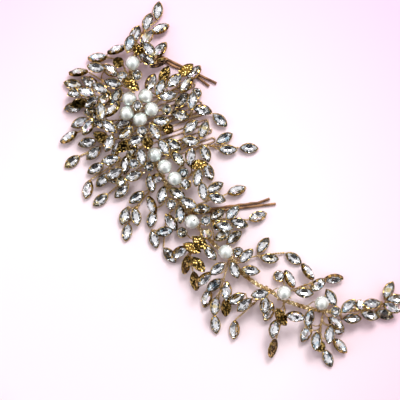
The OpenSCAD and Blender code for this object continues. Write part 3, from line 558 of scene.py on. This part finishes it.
def readStones(nodeName):
    # finds each stone of a node, its middle and the way it faces
    body = bmesh.new()
    body.from_mesh(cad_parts[nodeName].data)
    bmesh.ops.scale(body, vec=(1 / millimetre,) * 3, verts=body.verts)
    bmesh.ops.remove_doubles(body, verts=body.verts, dist=0.002)
    found, seen = [], set()
    for start in body.verts:
        if start in seen:
            continue
        island, todo = [], [start]
        seen.add(start)
        while todo:
            v = todo.pop()
            island.append(v.co.copy())
            for edge in v.link_edges:
                other = edge.other_vert(v)
                if other not in seen:
                    seen.add(other)
                    todo.append(other)
        points = np.array(island)
        middle = points.mean(axis=0)
        # the longest axis of a stone is its length, and the shortest one its height
        along, _, up = np.linalg.svd(points - middle, full_matrices=False)[2]
        heights = (points - middle) @ up
        if abs(heights.max()) > abs(heights.min()):
            up, heights = -up, -heights  # the pointed back lies furthest from the middle
        back = points[heights.argmin()]
        isRound = np.ptp((points - middle) @ along) < (stone["length"] + stone["width"]) / 2
        if not isRound and along[2] > 0:
            along = -along
        found.append({"round": isRound, "up": up, "along": along, "middle": back - up * stoneBack})
    body.free()
    return found


def placing(s):
    # where a stone and its cup go
    up, along = Vector(s["up"]), Vector(s["along"])
    along = (along - up * along.dot(up)).normalized()
    turn = Matrix((along, up.cross(along), up)).transposed().to_4x4()
    return Matrix.Translation(Vector(s["middle"])) @ turn


def localPoint(s, x, y, z):
    return np.array(placing(s) @ Vector((x, y, z)))


nodeNames = sorted(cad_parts)
settingNodes = [n for n in nodeNames if n.startswith("settings_")]
crystalNodes = [n for n in nodeNames if n.startswith("crystals_")]
surfaces = {}
for name in settingNodes:
    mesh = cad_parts[name].data
    surfaces[name] = BVHTree.FromPolygons([v.co / millimetre for v in mesh.vertices],
                                          [tuple(p.vertices) for p in mesh.polygons])

# each stone belongs to the spray whose metal is nearest to the floor of its cup
stonesOf = {name: [] for name in settingNodes}
for node in crystalNodes:
    body = bmesh.new()
    for s in readStones(node):
        under = Vector(localPoint(s, 0, 0, -bodyHeight / 2))
        owner = min(settingNodes, key=lambda n: surfaces[n].find_nearest(under)[3])
        stonesOf[owner].append(s)
        addMesh(body, stoneMeshes[s["round"]], placing(s))
    finishPiece(node.replace("crystals_", "cutCrystals"), body, [node], crystalMaterials)
print("crystals set:", sum(len(v) for v in stonesOf.values()))

# The stem's route and the sprays, as in the frame, in lengths of a stone

unit = stone["length"]
stem = {"thickness": 2.6, "height": 4.0, "clearance": 0.15, "bindingWall": 0.4, "bindingLength": 1.6,
        "wrapWire": 0.4, "bendReach": 4.0, "step": 0.45, "plaitPitch": 8.5, "pairs": 3, "strandRadius": 0.27,
        "plaitLift": 0.5}
combTurn, combReach = math.radians(-25), 1.62
combEnd = (math.cos(combTurn) * combReach, math.sin(combTurn) * combReach)
stemBends = [(-3.66, 3.16), (-3.0, 1.9), (-combEnd[0], -combEnd[1]), combEnd, (2.7, -1.1), (5.0, -1.35),
             (6.0, -1.6), (7.2, -1.62), (8.2, -1.45), (9.2, -1.68), (10.4, -1.48), (11.1, -1.22),
             (11.9, -1.12), (13.2, -0.46), (14.1, 0.15), (14.8, 0.9), (15.7, 2.05), (15.95, 2.7)]
stemPoints = np.array([(x * unit, y * unit, stem["height"]) for x, y in stemBends])
# span of the stem, share along it, side, bend of the middle wire, and the crystal that ends it
sprays = [
    (0, 0.16, -1, -4.05, 3.6, -4.28, 5.33), (0, 0.65, 1, -2.85, 2.8, -2.66, 3.88),
    (1, 0.1, -1, -3.8, 1.93, -4.83, 1.14), (1, 0.45, -1, -3.4, 0.5, -5.0, -0.17),
    (1, 0.8, -1, -2.75, -0.6, -3.8, -1.78), (2, 0.215, -1, -1.8, -0.8, -2.85, -3.1),
    (2, 0.4, -1, -0.9, -1.3, -1.73, -3.93), (2, 0.685, -1, 0.1, -2.0, -0.04, -4.42),
    (2, 0.957, -1, 1.05, -2.2, 0.88, -4.32), (3, 0.75, -1, 2.55, -3.0, 3.18, -4.55),
    (4, 0.16, -1, 3.55, -2.0, 3.64, -3.05), (4, 0.6, -1, 4.1, -2.4, 5.75, -3.78),
    (2, 0.31, 1, -0.8, 1.9, -0.44, 4.3), (2, 0.596, 1, 0.5, 1.6, 2.43, 3.48),
    (3, 0.2, 1, 1.9, 0.6, 2.18, 2.47), (4, 0.05, 1, 2.6, 1.7, 4.67, 3.52),
    (4, 0.38, 1, 3.4, 0.2, 4.02, 1.02), (4, 0.85, 1, 5.0, -0.4, 5.82, 1.4),
    (5, 0.7, 1, 6.3, -0.4, 7.67, 1.2), (6, 0.15, -1, 6.2, -2.7, 7.78, -3.76),
    (8, 0.35, 1, 9.25, -0.3, 10.73, 0.95), (8, 0.1, -1, 8.8, -2.6, 10.27, -4.7),
    (10, 0.6, -1, 10.95, -2.4, 11.19, -4.18), (12, 0.1, -1, 12.4, -1.4, 13.38, -3.4),
    (11, 0.75, 1, 12.05, 0.0, 13.12, 1.7), (13, 0.84, -1, 14.6, -0.9, 16.0, -1.62),
    (14, 0.6, -1, 14.75, 0.55, 15.32, 0.88), (16, 0.5, -1, 16.2, 2.75, 16.33, 3.36)]
bindingRadius = stem["thickness"] / 2 + stem["clearance"] + stem["bindingWall"]

# bedding is the share of its thickness by which a wire's middle stands off what it is soldered to, and
# topReach how near a cup is when its stalk comes from the top of the binding
wires = {"middle": 1.1, "middleTwist": 2.76, "bendHeight": 2.5, "bendReach": 5.0, "rootDip": 30.0,
         "bedding": 1 / 6, "stalk": 0.9, "twist": 2.4, "stalkReach": 0.5, "stalkPoints": 9, "pull": 0.3,
         "lean": 0.16, "step": 2.0, "routeStep": 0.5, "topReach": 7.5, "turnStep": 1.3, "wrapWire": 0.32,
         "wrapEase": 0.1, "wrapLength": 1.3}
# where the stub of a stalk shows beside a round cup: how near the stone, how far out and how high
stub = {"near": 5.0, "from": 0.12, "to": 0.75, "height": 0.55}


def onStem(span, share):
    return stemPoints[span] + share * (stemPoints[span + 1] - stemPoints[span])


def stemAlong(span):
    return unitVector(stemPoints[span + 1] - stemPoints[span])


def bindingCoil(span, share):
    # wire wraps that hold something to the stem
    return coilStrand(onStem(span, share), stemAlong(span), bindingRadius - stem["wrapWire"] / 2,
                      stem["bindingLength"], stem["wrapWire"])


def cupSize(s):
    return (stone["round"] if s["round"] else stone["length"]) + 2 * (cup["wall"] + stone["clearance"])


def stalkEnd(s):
    return localPoint(s, -cupSize(s) / 2 - wires["stalk"] * wires["bedding"], 0,
                      -bodyHeight / 2 + cup["floor"])


def turnRound(s, points):
    # a round cup is turned until the stub of its stalk in the frame lies on its minus X side
    local = np.array([placing(s).inverted() @ Vector(p) for p in points
                      if np.linalg.norm(p - s["middle"]) < stub["near"]])
    reach = np.linalg.norm(local[:, :2], axis=1) - cupSize(s) / 2
    near = local[(reach > stub["from"]) & (reach < stub["to"])
                 & (abs(local[:, 2] + bodyHeight / 2 - cup["floor"]) < stub["height"])]
    if len(near):
        way = near.mean(axis=0)
        s["along"] = np.array(placing(s).to_3x3() @ Vector((-way[0], -way[1], 0)).normalized())


def stalkFoot(a, b, p):
    # the point of the wire from a to b that a stalk to p branches from
    steps = math.ceil(np.linalg.norm(b - a) / wires["step"])
    share = (p - a) @ (b - a) / ((b - a) @ (b - a)) - wires["lean"]
    return a + min(max(round(share * steps), 0), steps) / steps * (b - a)


def nearer(p, a, b):
    return a if np.linalg.norm(p - a) < np.linalg.norm(p - b) else b


def stalkStrands(start, along, p, turn):
    # a stalk leaves the wire that it branches from along it and then bends up to its cup
    length = np.linalg.norm(p - start)
    control = start + along * length * wires["pull"] + (p - start) * wires["pull"]
    t = np.linspace(0, 1, wires["stalkPoints"])[:, None]
    path = (1 - t) ** 2 * start + 2 * t * (1 - t) * control + t * t * p
    return twistedPair(path, wires["stalk"], wires["twist"], wires["stalkReach"], turn)


for number, (name, spray) in enumerate(zip(settingNodes, sprays)):
    span, share, side, bendX, bendY, endX, endY = spray
    own = stonesOf[name]
    vertices = np.array([v.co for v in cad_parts[name].data.vertices]) / millimetre
    for s in own:
        if s["round"]:
            turnRound(s, vertices)
    along = stemAlong(span)
    dip = math.radians(wires["rootDip"])
    outward = np.array([-along[1] * side * math.cos(dip), along[0] * side * math.cos(dip), -math.sin(dip)])
    root = onStem(span, share) + (bindingRadius + wires["middle"] * wires["bedding"]) * outward
    bend = np.array([bendX * unit, bendY * unit, wires["bendHeight"]])
    top = onStem(span, share) + np.array([0, 0, bindingRadius + wires["stalk"] * wires["bedding"]])
    tip = np.array([endX * unit, endY * unit])
    last = min(own, key=lambda s: np.linalg.norm(s["middle"][:2] - tip))
    end = stalkEnd(last)
    strands = twistedPair([root, bend, end], wires["middle"], wires["middleTwist"], wires["bendReach"])
    route = evenPath(roundedPath([root, bend, end], wires["bendReach"]), wires["routeStep"])[0]
    strands.append(bindingCoil(span, share))
    body = bmesh.new()
    for k, s in enumerate(own):
        addMesh(body, cupMeshes[s["round"]], placing(s), 0)
        if s is last:
            continue
        p = stalkEnd(s)
        foot = nearer(p, stalkFoot(root, bend, p), stalkFoot(bend, end, p))
        near = int(np.linalg.norm(route - foot, axis=1).argmin())
        if np.linalg.norm(p - top) < wires["topReach"] and nearer(p, foot, top) is top:
            start, way = top, unitVector(p - top)
        else:
            start = route[near]
            way = unitVector(route[min(near + 1, len(route) - 1)] - route[max(near - 1, 0)])
            strands.append(coilStrand(start, way, wires["middle"] / 2 + wires["wrapEase"],
                                      wires["wrapLength"], wires["wrapWire"]))
        strands += stalkStrands(start, way, p, wires["turnStep"] * k)
    addMesh(body, sweepStrands(strands), slot=1)
    finishPiece("claspedSpray%02d" % (number + 1), body, [name], settingMaterials)
print("sprays wired")

# Pearls and the flower

# lip is the share of the hole's radius and the depth of each step from the drilled edge inwards, and cap
# the radius, length and wire of a coil
pearl = {"diameter": 8.0, "segments": 48, "rings": 40, "hole": 1.2,
         "lip": ((0.94, 0.05), (0.9, 0.15), (0.9, 1.2)), "wire": 0.8, "twist": 1.8, "turn": 0.6, "reach": 0.7,
         "cap": (0.42, 0.7, 0.3), "capBack": 0.25}
flower = {"middle": (-1.22, 0.78), "pearls": range(1, 6), "span": 2, "share": 0.05, "bendReach": 1.0,
          "hubAxis": (0.3, 0.2, 1), "hubCoil": (0.88, 1.8, 0.4)}
# span of the stem, share along it, first and last pearl, heading and tilt of the wire through them
pearlWires = [(0, 0.36, 0, 0, -62, 0), (2, 0.76, 6, 8, -4.5, 0), (5, 0.36, 9, 9, 90, 66),
              (7, 0.09, 10, 10, 10, 0), (11, 0.05, 11, 11, 7, 0), (12, 0.9, 12, 12, 35, 0)]
pearlNodes = [n for n in nodeNames if n.startswith("pearl_")]
pearlMiddles = [sum(np.array(corner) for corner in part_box(n)) / 2 / millimetre for n in pearlNodes]
hub = np.array([flower["middle"][0] * unit, flower["middle"][1] * unit,
                pearlMiddles[flower["pearls"][0]][2]])


def headingVector(heading, tilt):
    h, t = math.radians(heading), math.radians(tilt)
    return np.array([math.cos(h) * math.cos(t), math.sin(h) * math.cos(t), math.sin(t)])


def pearlAxis(i):
    if i in flower["pearls"]:
        return unitVector(pearlMiddles[i] - hub)
    return next(headingVector(w[4], w[5]) for w in pearlWires if w[2] <= i <= w[3])


def wireCap(tip, axis):
    # the end of a pearl's wire, wrapped round itself
    return coilStrand(tip - axis * pearl["capBack"], axis, *pearl["cap"])


def pearlMesh():
    # a ball with its poles cut off, the cut edges rolled in and joined by a drill hole
    body = bmesh.new()
    bmesh.ops.create_uvsphere(body, u_segments=pearl["segments"], v_segments=pearl["rings"],
                              radius=pearl["diameter"] / 2)
    holeRadius = pearl["hole"] / 2
    height = math.sqrt((pearl["diameter"] / 2) ** 2 - holeRadius ** 2)
    for way in (1, -1):
        cut = bmesh.ops.bisect_plane(body, geom=body.verts[:] + body.edges[:] + body.faces[:], dist=0.001,
                                     plane_co=(0, 0, way * height), plane_no=(0, 0, way), clear_outer=True)
        edges = ofKind(cut["geom_cut"], bmesh.types.BMEdge)
        for share, drop in pearl["lip"]:
            made = bmesh.ops.extrude_edge_only(body, edges=edges)["geom"]
            edges = ofKind(made, bmesh.types.BMEdge)
            for v in ofKind(made, bmesh.types.BMVert):
                flat = Vector((v.co.x, v.co.y, 0)).normalized() * holeRadius * share
                v.co = Vector((flat.x, flat.y, way * (height - drop)))
    bmesh.ops.bridge_loops(body, edges=[e for e in body.edges if e.is_boundary])
    bmesh.ops.recalc_face_normals(body, faces=body.faces)
    for face in body.faces:
        face.smooth = True
    return closeBody(body, "pearl")


pearlShape = pearlMesh()
for i, node in enumerate(pearlNodes):
    body = bmesh.new()
    turn = Vector(pearlAxis(i)).to_track_quat("Z", "Y").to_matrix().to_4x4()
    addMesh(body, pearlShape, Matrix.Translation(Vector(pearlMiddles[i])) @ turn)
    finishPiece(node.replace("pearl_", "lacqueredPearl"), body, [node], [pearlNacre])

flowerStone = readStones("flower_crystal")[0]
flowerStone["along"] = np.array([1.0, 0.0, 0.0])
body = bmesh.new()
addMesh(body, stoneMeshes[True], placing(flowerStone))
finishPiece("flowerCrystal", body, ["flower_crystal"], crystalMaterials)

body = bmesh.new()
addMesh(body, cupMeshes[True], placing(flowerStone), 0)
base = onStem(flower["span"], flower["share"])
base = base + np.array([0, 0, bindingRadius + wires["middle"] * wires["bedding"]])
under = localPoint(flowerStone, 0, 0, -bodyHeight / 2 + cup["floor"] / 2)
strands = [bindingCoil(flower["span"], flower["share"])]
strands += twistedPair([base, hub, under], wires["middle"], wires["twist"], flower["bendReach"])
strands.append(coilStrand(hub, flower["hubAxis"], *flower["hubCoil"]))
for i in flower["pearls"]:
    axis = pearlAxis(i)
    tip = pearlMiddles[i] + (pearl["diameter"] / 2 + pearl["reach"]) * axis
    strands += twistedPair([hub, tip], pearl["wire"], pearl["twist"], turn=i)
    strands.append(wireCap(tip, axis))
addMesh(body, sweepStrands(strands), slot=1)
finishPiece("flowerWires", body, ["flower_setting"], settingMaterials)
print("pearls threaded")

# The stem: three pairs of wires plaited flat, the pearl wires and the straps of the pins

# across is the width of a leg as the photo shows it, and wire its height
pin = {"length": 52.0, "wire": 1.1, "across": 1.4, "bend": 2.2, "grip": 1.5, "mouth": 3.2, "step": 3.0,
       "crimpReach": 1.4, "crimpStep": 0.9, "edgeShare": 0.28, "edgeSteps": 3, "strapWall": 0.35,
       "strapClearance": 0.1, "strapWire": 0.35, "strapEase": 0.12, "strapLength": 2.8, "postWire": 0.4}
# span of the strap, share along it, heading, bend before the strap, side of the crimped leg
pins = {"upper_bobby_pin": (0, 0.0, 19, 0.4, -1), "lower_bobby_pin": (4, 0.95, 52, 0.4, 1)}
# share along the pin, and depth in grips, of each bend of the crimped leg
crimps = [(0.1, 0.5), (0.44, 0.5), (0.5, 0.8), (0.56, 0.5), (0.62, 0.8), (0.68, 0.5), (0.74, 0.8), (0.8, 0.5)]
pinHeight = pin["strapWall"] + pin["strapClearance"] + pin["wire"] / 2

path, at = evenPath(roundedPath(stemPoints, stem["bendReach"]), stem["step"])
sides, ups = pathFrames(path)
along = np.gradient(path, at, axis=0)
strands = []
for k in range(stem["pairs"]):
    angle = 2 * math.pi * (at / stem["plaitPitch"] + k / stem["pairs"])
    sway = (stem["thickness"] / 2 - 2 * stem["strandRadius"]) * np.sin(angle)
    lift = stem["plaitLift"] * np.sin(2 * angle)
    # the two wires of a pair lie side by side, square to the way that they run
    slope = np.gradient(sway, at)
    apart = stem["strandRadius"] / np.sqrt(1 + slope ** 2)
    for shift in (-1, 1):
        points = path + (sway + shift * apart)[:, None] * sides + lift[:, None] * ups
        strands.append((points - (shift * slope * apart)[:, None] * along, stem["strandRadius"]))
for span, share, firstPearl, lastPearl, heading, tilt in pearlWires:
    axis = headingVector(heading, tilt)
    reach = pearl["diameter"] / 2 + pearl["reach"]
    start = pearlMiddles[firstPearl] - reach * axis
    # a tilted wire ends inside its pearl
    tip = pearlMiddles[lastPearl] + (reach if tilt == 0 else pearl["diameter"] / 4) * axis
    strands += twistedPair([onStem(span, share), start, tip], pearl["wire"], pearl["twist"], pearl["turn"])
    if tilt == 0:
        strands.append(wireCap(tip, axis))
for span, share, heading, before, crimped in pins.values():
    # an oval strap round both legs, and a post of wire from it up to the stem
    p = onStem(span, share)
    strapRadius = pin["wire"] / 2 + pin["strapClearance"] + pin["strapWire"] / 2
    strands.append(coilStrand((p[0], p[1], pinHeight), headingVector(heading, 0), strapRadius,
                              pin["strapLength"], pin["strapWire"],
                              wide=strapRadius + pin["grip"] / 2 + pin["strapEase"]))
    strands.append(coilStrand((p[0], p[1], (2 * pinHeight + stem["height"]) / 2), upright,
                              stem["thickness"] / 4, stem["height"] - 2 * pinHeight, pin["postWire"]))
body = bmesh.new()
addMesh(body, sweepStrands(strands), slot=0)
finishPiece("plaitedStem", body, ["main_stem"], [metals["giltBrassPlait"]])
print("stem plaited")

# The wire comb

# gap is the width of a tooth and pitch the way from one to the next, between the middles of the wires
comb = {"teeth": 7, "pitch": 5.4, "length": 36.0, "gap": 2.4, "wire": 1.0, "loop": 3.0,
        "bindings": (0.125, 0.5, 0.877), "spineHeight": 1.2, "spineStep": 4.0, "wrapWire": 0.3,
        "wrapEase": 0.15, "wrapLength": 1.92, "postRadius": 0.32, "postWire": 0.35, "postSink": 0.2,
        "wireSides": 8}


def combRoute():
    # the bent wire in the comb's own plane, teeth towards +Y
    legEnd = comb["length"] - comb["gap"] / 2 - comb["wire"] / 2
    loop = (comb["pitch"] - comb["gap"]) / 2
    loopEnd = comb["loop"] - loop - comb["wire"] / 2
    half = (comb["teeth"] - 1) / 2
    route = [(-half * comb["pitch"] - comb["gap"] / 2, -comb["wire"])]
    for i in range(comb["teeth"]):
        x = (i - half) * comb["pitch"]
        for a in np.linspace(math.pi, 0, wireDetail["arc"]):
            route.append((x + comb["gap"] / 2 * math.cos(a), legEnd + comb["gap"] / 2 * math.sin(a)))
        if i < comb["teeth"] - 1:
            for a in np.linspace(math.pi, 2 * math.pi, wireDetail["arc"]):
                route.append((x + comb["pitch"] / 2 + loop * math.cos(a), -loopEnd + loop * math.sin(a)))
    route.append((half * comb["pitch"] + comb["gap"] / 2, -comb["wire"]))
    return np.array([(x, y, comb["wire"] / 2) for x, y in route])


spin = np.array(Matrix.Rotation(combTurn, 3, "Z"))
spineHeight = comb["spineHeight"]
spineReach = (comb["teeth"] - 1) / 2 * comb["pitch"] + comb["gap"]
strands = [(combRoute() @ spin.T, comb["wire"] / 2)]
spine = np.array([(-spineReach, 0, spineHeight), (spineReach, 0, spineHeight)]) @ spin.T
strands.append((evenPath(spine, comb["spineStep"])[0], comb["wire"] / 2))
spineWay = unitVector(spine[1] - spine[0])
for i in range(comb["teeth"]):
    # fine wire wraps round the spine over each tooth
    x = (i - (comb["teeth"] - 1) / 2) * comb["pitch"]
    strands.append(coilStrand(np.array((x, 0, spineHeight)) @ spin.T, spineWay,
                              comb["wire"] / 2 + comb["wrapEase"], comb["wrapLength"], comb["wrapWire"]))
for share in comb["bindings"]:
    # a binding round the stem, and a post of wire from the spine up into it
    p = onStem(2, share)
    postTop = stem["height"] - bindingRadius + comb["postSink"]
    strands.append(bindingCoil(2, share))
    strands.append(coilStrand((p[0], p[1], (spineHeight + postTop) / 2), upright, comb["postRadius"],
                              postTop - spineHeight, comb["postWire"]))
body = bmesh.new()
addMesh(body, sweepStrands(strands, comb["wireSides"]), slot=0)
finishPiece("bentWireComb", body, ["wire_comb"], [metals["roseGiltCombWire"]])
print("comb bent")

# The bobby pins


def pinRoute(before):
    # the straight leg from its tip, the bend and the crimped leg, in the pin's own plane
    start = -before * unit
    bend = start + pin["bend"] / 2 + pin["wire"] / 2
    tip = start + pin["length"]
    route = [(tip, pin["grip"] / 2), (bend + pin["wire"], pin["grip"] / 2)]
    for a in np.linspace(0, math.pi, wireDetail["arc"]):
        route.append((bend - pin["bend"] / 2 * math.sin(a), pin["bend"] / 2 * math.cos(a)))
    route.append((bend + pin["wire"], -pin["grip"] / 2))
    wave = [(start + share * pin["length"], -width * pin["grip"]) for share, width in crimps]
    wave.append((tip - pin["step"], pin["grip"] / 2 - pin["mouth"]))
    wave = roundedPath([(x, y, 0) for x, y in [route[-1]] + wave], pin["crimpReach"])
    wave = evenPath(wave, pin["crimpStep"])[0]
    return np.array([(x, y, 0) for x, y in route] + [tuple(p) for p in wave[1:]])


def flatWire(route, across, thickness, mirrored):
    # the outline of the bent wire, pushed up to its thickness, with its long edges rounded
    tangents = np.gradient(route, axis=0)
    tangents /= np.linalg.norm(tangents, axis=1)[:, None]
    edge = np.stack([-tangents[:, 1], tangents[:, 0], np.zeros(len(route))], 1) * across / 2
    outline = np.concatenate([route + edge, (route - edge)[::-1]])
    if mirrored:
        outline[:, 1] *= -1
    body = bmesh.new()
    half = len(route)
    verts = [body.verts.new((x, y, -thickness / 2)) for x, y, z in outline]
    for i in range(half - 1):
        body.faces.new((verts[i], verts[i + 1], verts[2 * half - 2 - i], verts[2 * half - 1 - i]))
    made = bmesh.ops.extrude_face_region(body, geom=body.faces[:])["geom"]
    bmesh.ops.translate(body, vec=(0, 0, thickness), verts=ofKind(made, bmesh.types.BMVert))
    bmesh.ops.recalc_face_normals(body, faces=body.faces)
    sharp = [e for e in body.edges if e.is_manifold and e.calc_face_angle() > math.radians(60)]
    bmesh.ops.bevel(body, geom=sharp, offset=thickness * pin["edgeShare"], offset_type="OFFSET",
                    affect="EDGES", segments=pin["edgeSteps"], profile=0.5, material=-1)
    bmesh.ops.recalc_face_normals(body, faces=body.faces)
    for face in body.faces:
        face.smooth = True
    return body


for node, (span, share, heading, before, crimped) in pins.items():
    p = onStem(span, share)
    body = flatWire(pinRoute(before), pin["across"], pin["wire"], crimped > 0)
    turn = Matrix.Rotation(math.radians(heading), 3, "Z")
    bmesh.ops.rotate(body, cent=(0, 0, 0), matrix=turn, verts=body.verts)
    bmesh.ops.translate(body, vec=(p[0], p[1], pinHeight), verts=body.verts)
    finishPiece(node.replace("_bobby_pin", "LacqueredPin"), body, [node],
                [metals["bronzeLacqueredPin"]])
print("pins bent")

# Floor, light and camera, in metres

# view is the width that the photo takes in, and turn the photo's angle about Z
studio = {"middle": (0.0478, -0.0043), "floorSize": 6.0, "floorDrop": 0.00005, "view": 0.22, "distance": 0.8,
          "topOfVine": 0.008, "turn": 45.0, "film": 36, "nearest": 0.01, "room": 0.9, "walls": 0.5,
          "wallHeights": (0.1, 0.5), "tints": [(0.0, "2E2C30"), (1.0, "FFFBFD")]}
# dark patches of the room: direction, and the angles from it where a patch starts and ends its fading
darkPatches = [((0, 0, 1), 9, 14), ((0.5, -0.5, 0.62), 27, 38)]
# direction from the vine, distance, size and power
softBoxes = {"keyBox": ((-0.32, 0.8, 1.0), 1.1, 0.35, 8.0), "glintBox": ((-0.5, 0.35, 1.1), 1.0, 0.16, 1.5),
             "fillBox": ((-0.9, -0.6, 0.8), 1.6, 0.35, 1.5)}

body = bmesh.new()
bmesh.ops.create_grid(body, x_segments=1, y_segments=1, size=studio["floorSize"] / 2)
mesh = closeBody(body, "paperFloor")
floorPiece = bpy.data.objects.new("paperFloor", mesh)
mesh.transform(Matrix.Translation((*studio["middle"], -studio["floorDrop"])))
mesh.materials.append(floorMaterial())
bpy.context.collection.objects.link(floorPiece)

world = bpy.data.worlds.new("softStudio")
bpy.context.scene.world = world
world.use_nodes = True
tree = world.node_tree
tree.nodes.clear()
# a pale room for the facets to mirror, its walls darker low down, with the dark patches
direction = addNode(tree, "ShaderNodeTexCoord").outputs["Generated"]
height = addNode(tree, "ShaderNodeSeparateXYZ", links={"Vector": direction}).outputs["Z"]
light = addNode(tree, "ShaderNodeMapRange",
                {"From Min": studio["wallHeights"][0], "From Max": studio["wallHeights"][1],
                 "To Min": studio["walls"]}, {"Value": height}).outputs["Result"]
for toward, inner, outer in darkPatches:
    nearness = addNode(tree, "ShaderNodeVectorMath",
                       {"operation": "DOT_PRODUCT", 1: Vector(toward).normalized()}, {0: direction})
    outside = addNode(tree, "ShaderNodeMapRange",
                      {"From Min": math.cos(math.radians(inner)), "From Max": math.cos(math.radians(outer))},
                      {"Value": nearness.outputs["Value"]})
    light = addNode(tree, "ShaderNodeMath", {"operation": "MULTIPLY"},
                    {0: light, 1: outside.outputs["Result"]}).outputs["Value"]
room = addNode(tree, "ShaderNodeValToRGB", links={"Fac": light})
setRamp(room, studio["tints"])
sky = addNode(tree, "ShaderNodeBackground", {"Strength": studio["room"]}, {"Color": room.outputs["Color"]})
addNode(tree, "ShaderNodeOutputWorld", links={"Surface": sky.outputs["Background"]})
bpy.context.scene.view_settings.view_transform = "Standard"

for name, (direction, distance, size, power) in softBoxes.items():
    light = bpy.data.lights.new(name, "AREA")
    light.size = size
    light.energy = power
    holder = bpy.data.objects.new(name, light)
    bpy.context.collection.objects.link(holder)
    way = Vector(direction).normalized()
    holder.location = Vector((*studio["middle"], 0)) + way * distance
    holder.rotation_euler = way.to_track_quat("Z", "Y").to_euler()

camera = bpy.data.cameras.new("photoCamera")
camera.sensor_width = studio["film"]
camera.lens = studio["film"] * studio["distance"] / studio["view"]
camera.clip_start = studio["nearest"]
cameraHolder = bpy.data.objects.new("photoCamera", camera)
bpy.context.collection.objects.link(cameraHolder)
cameraHolder.location = (*studio["middle"], studio["distance"] + studio["topOfVine"])
cameraHolder.rotation_euler = (0, 0, math.radians(studio["turn"]))
bpy.context.scene.camera = cameraHolder
print("studio lit")
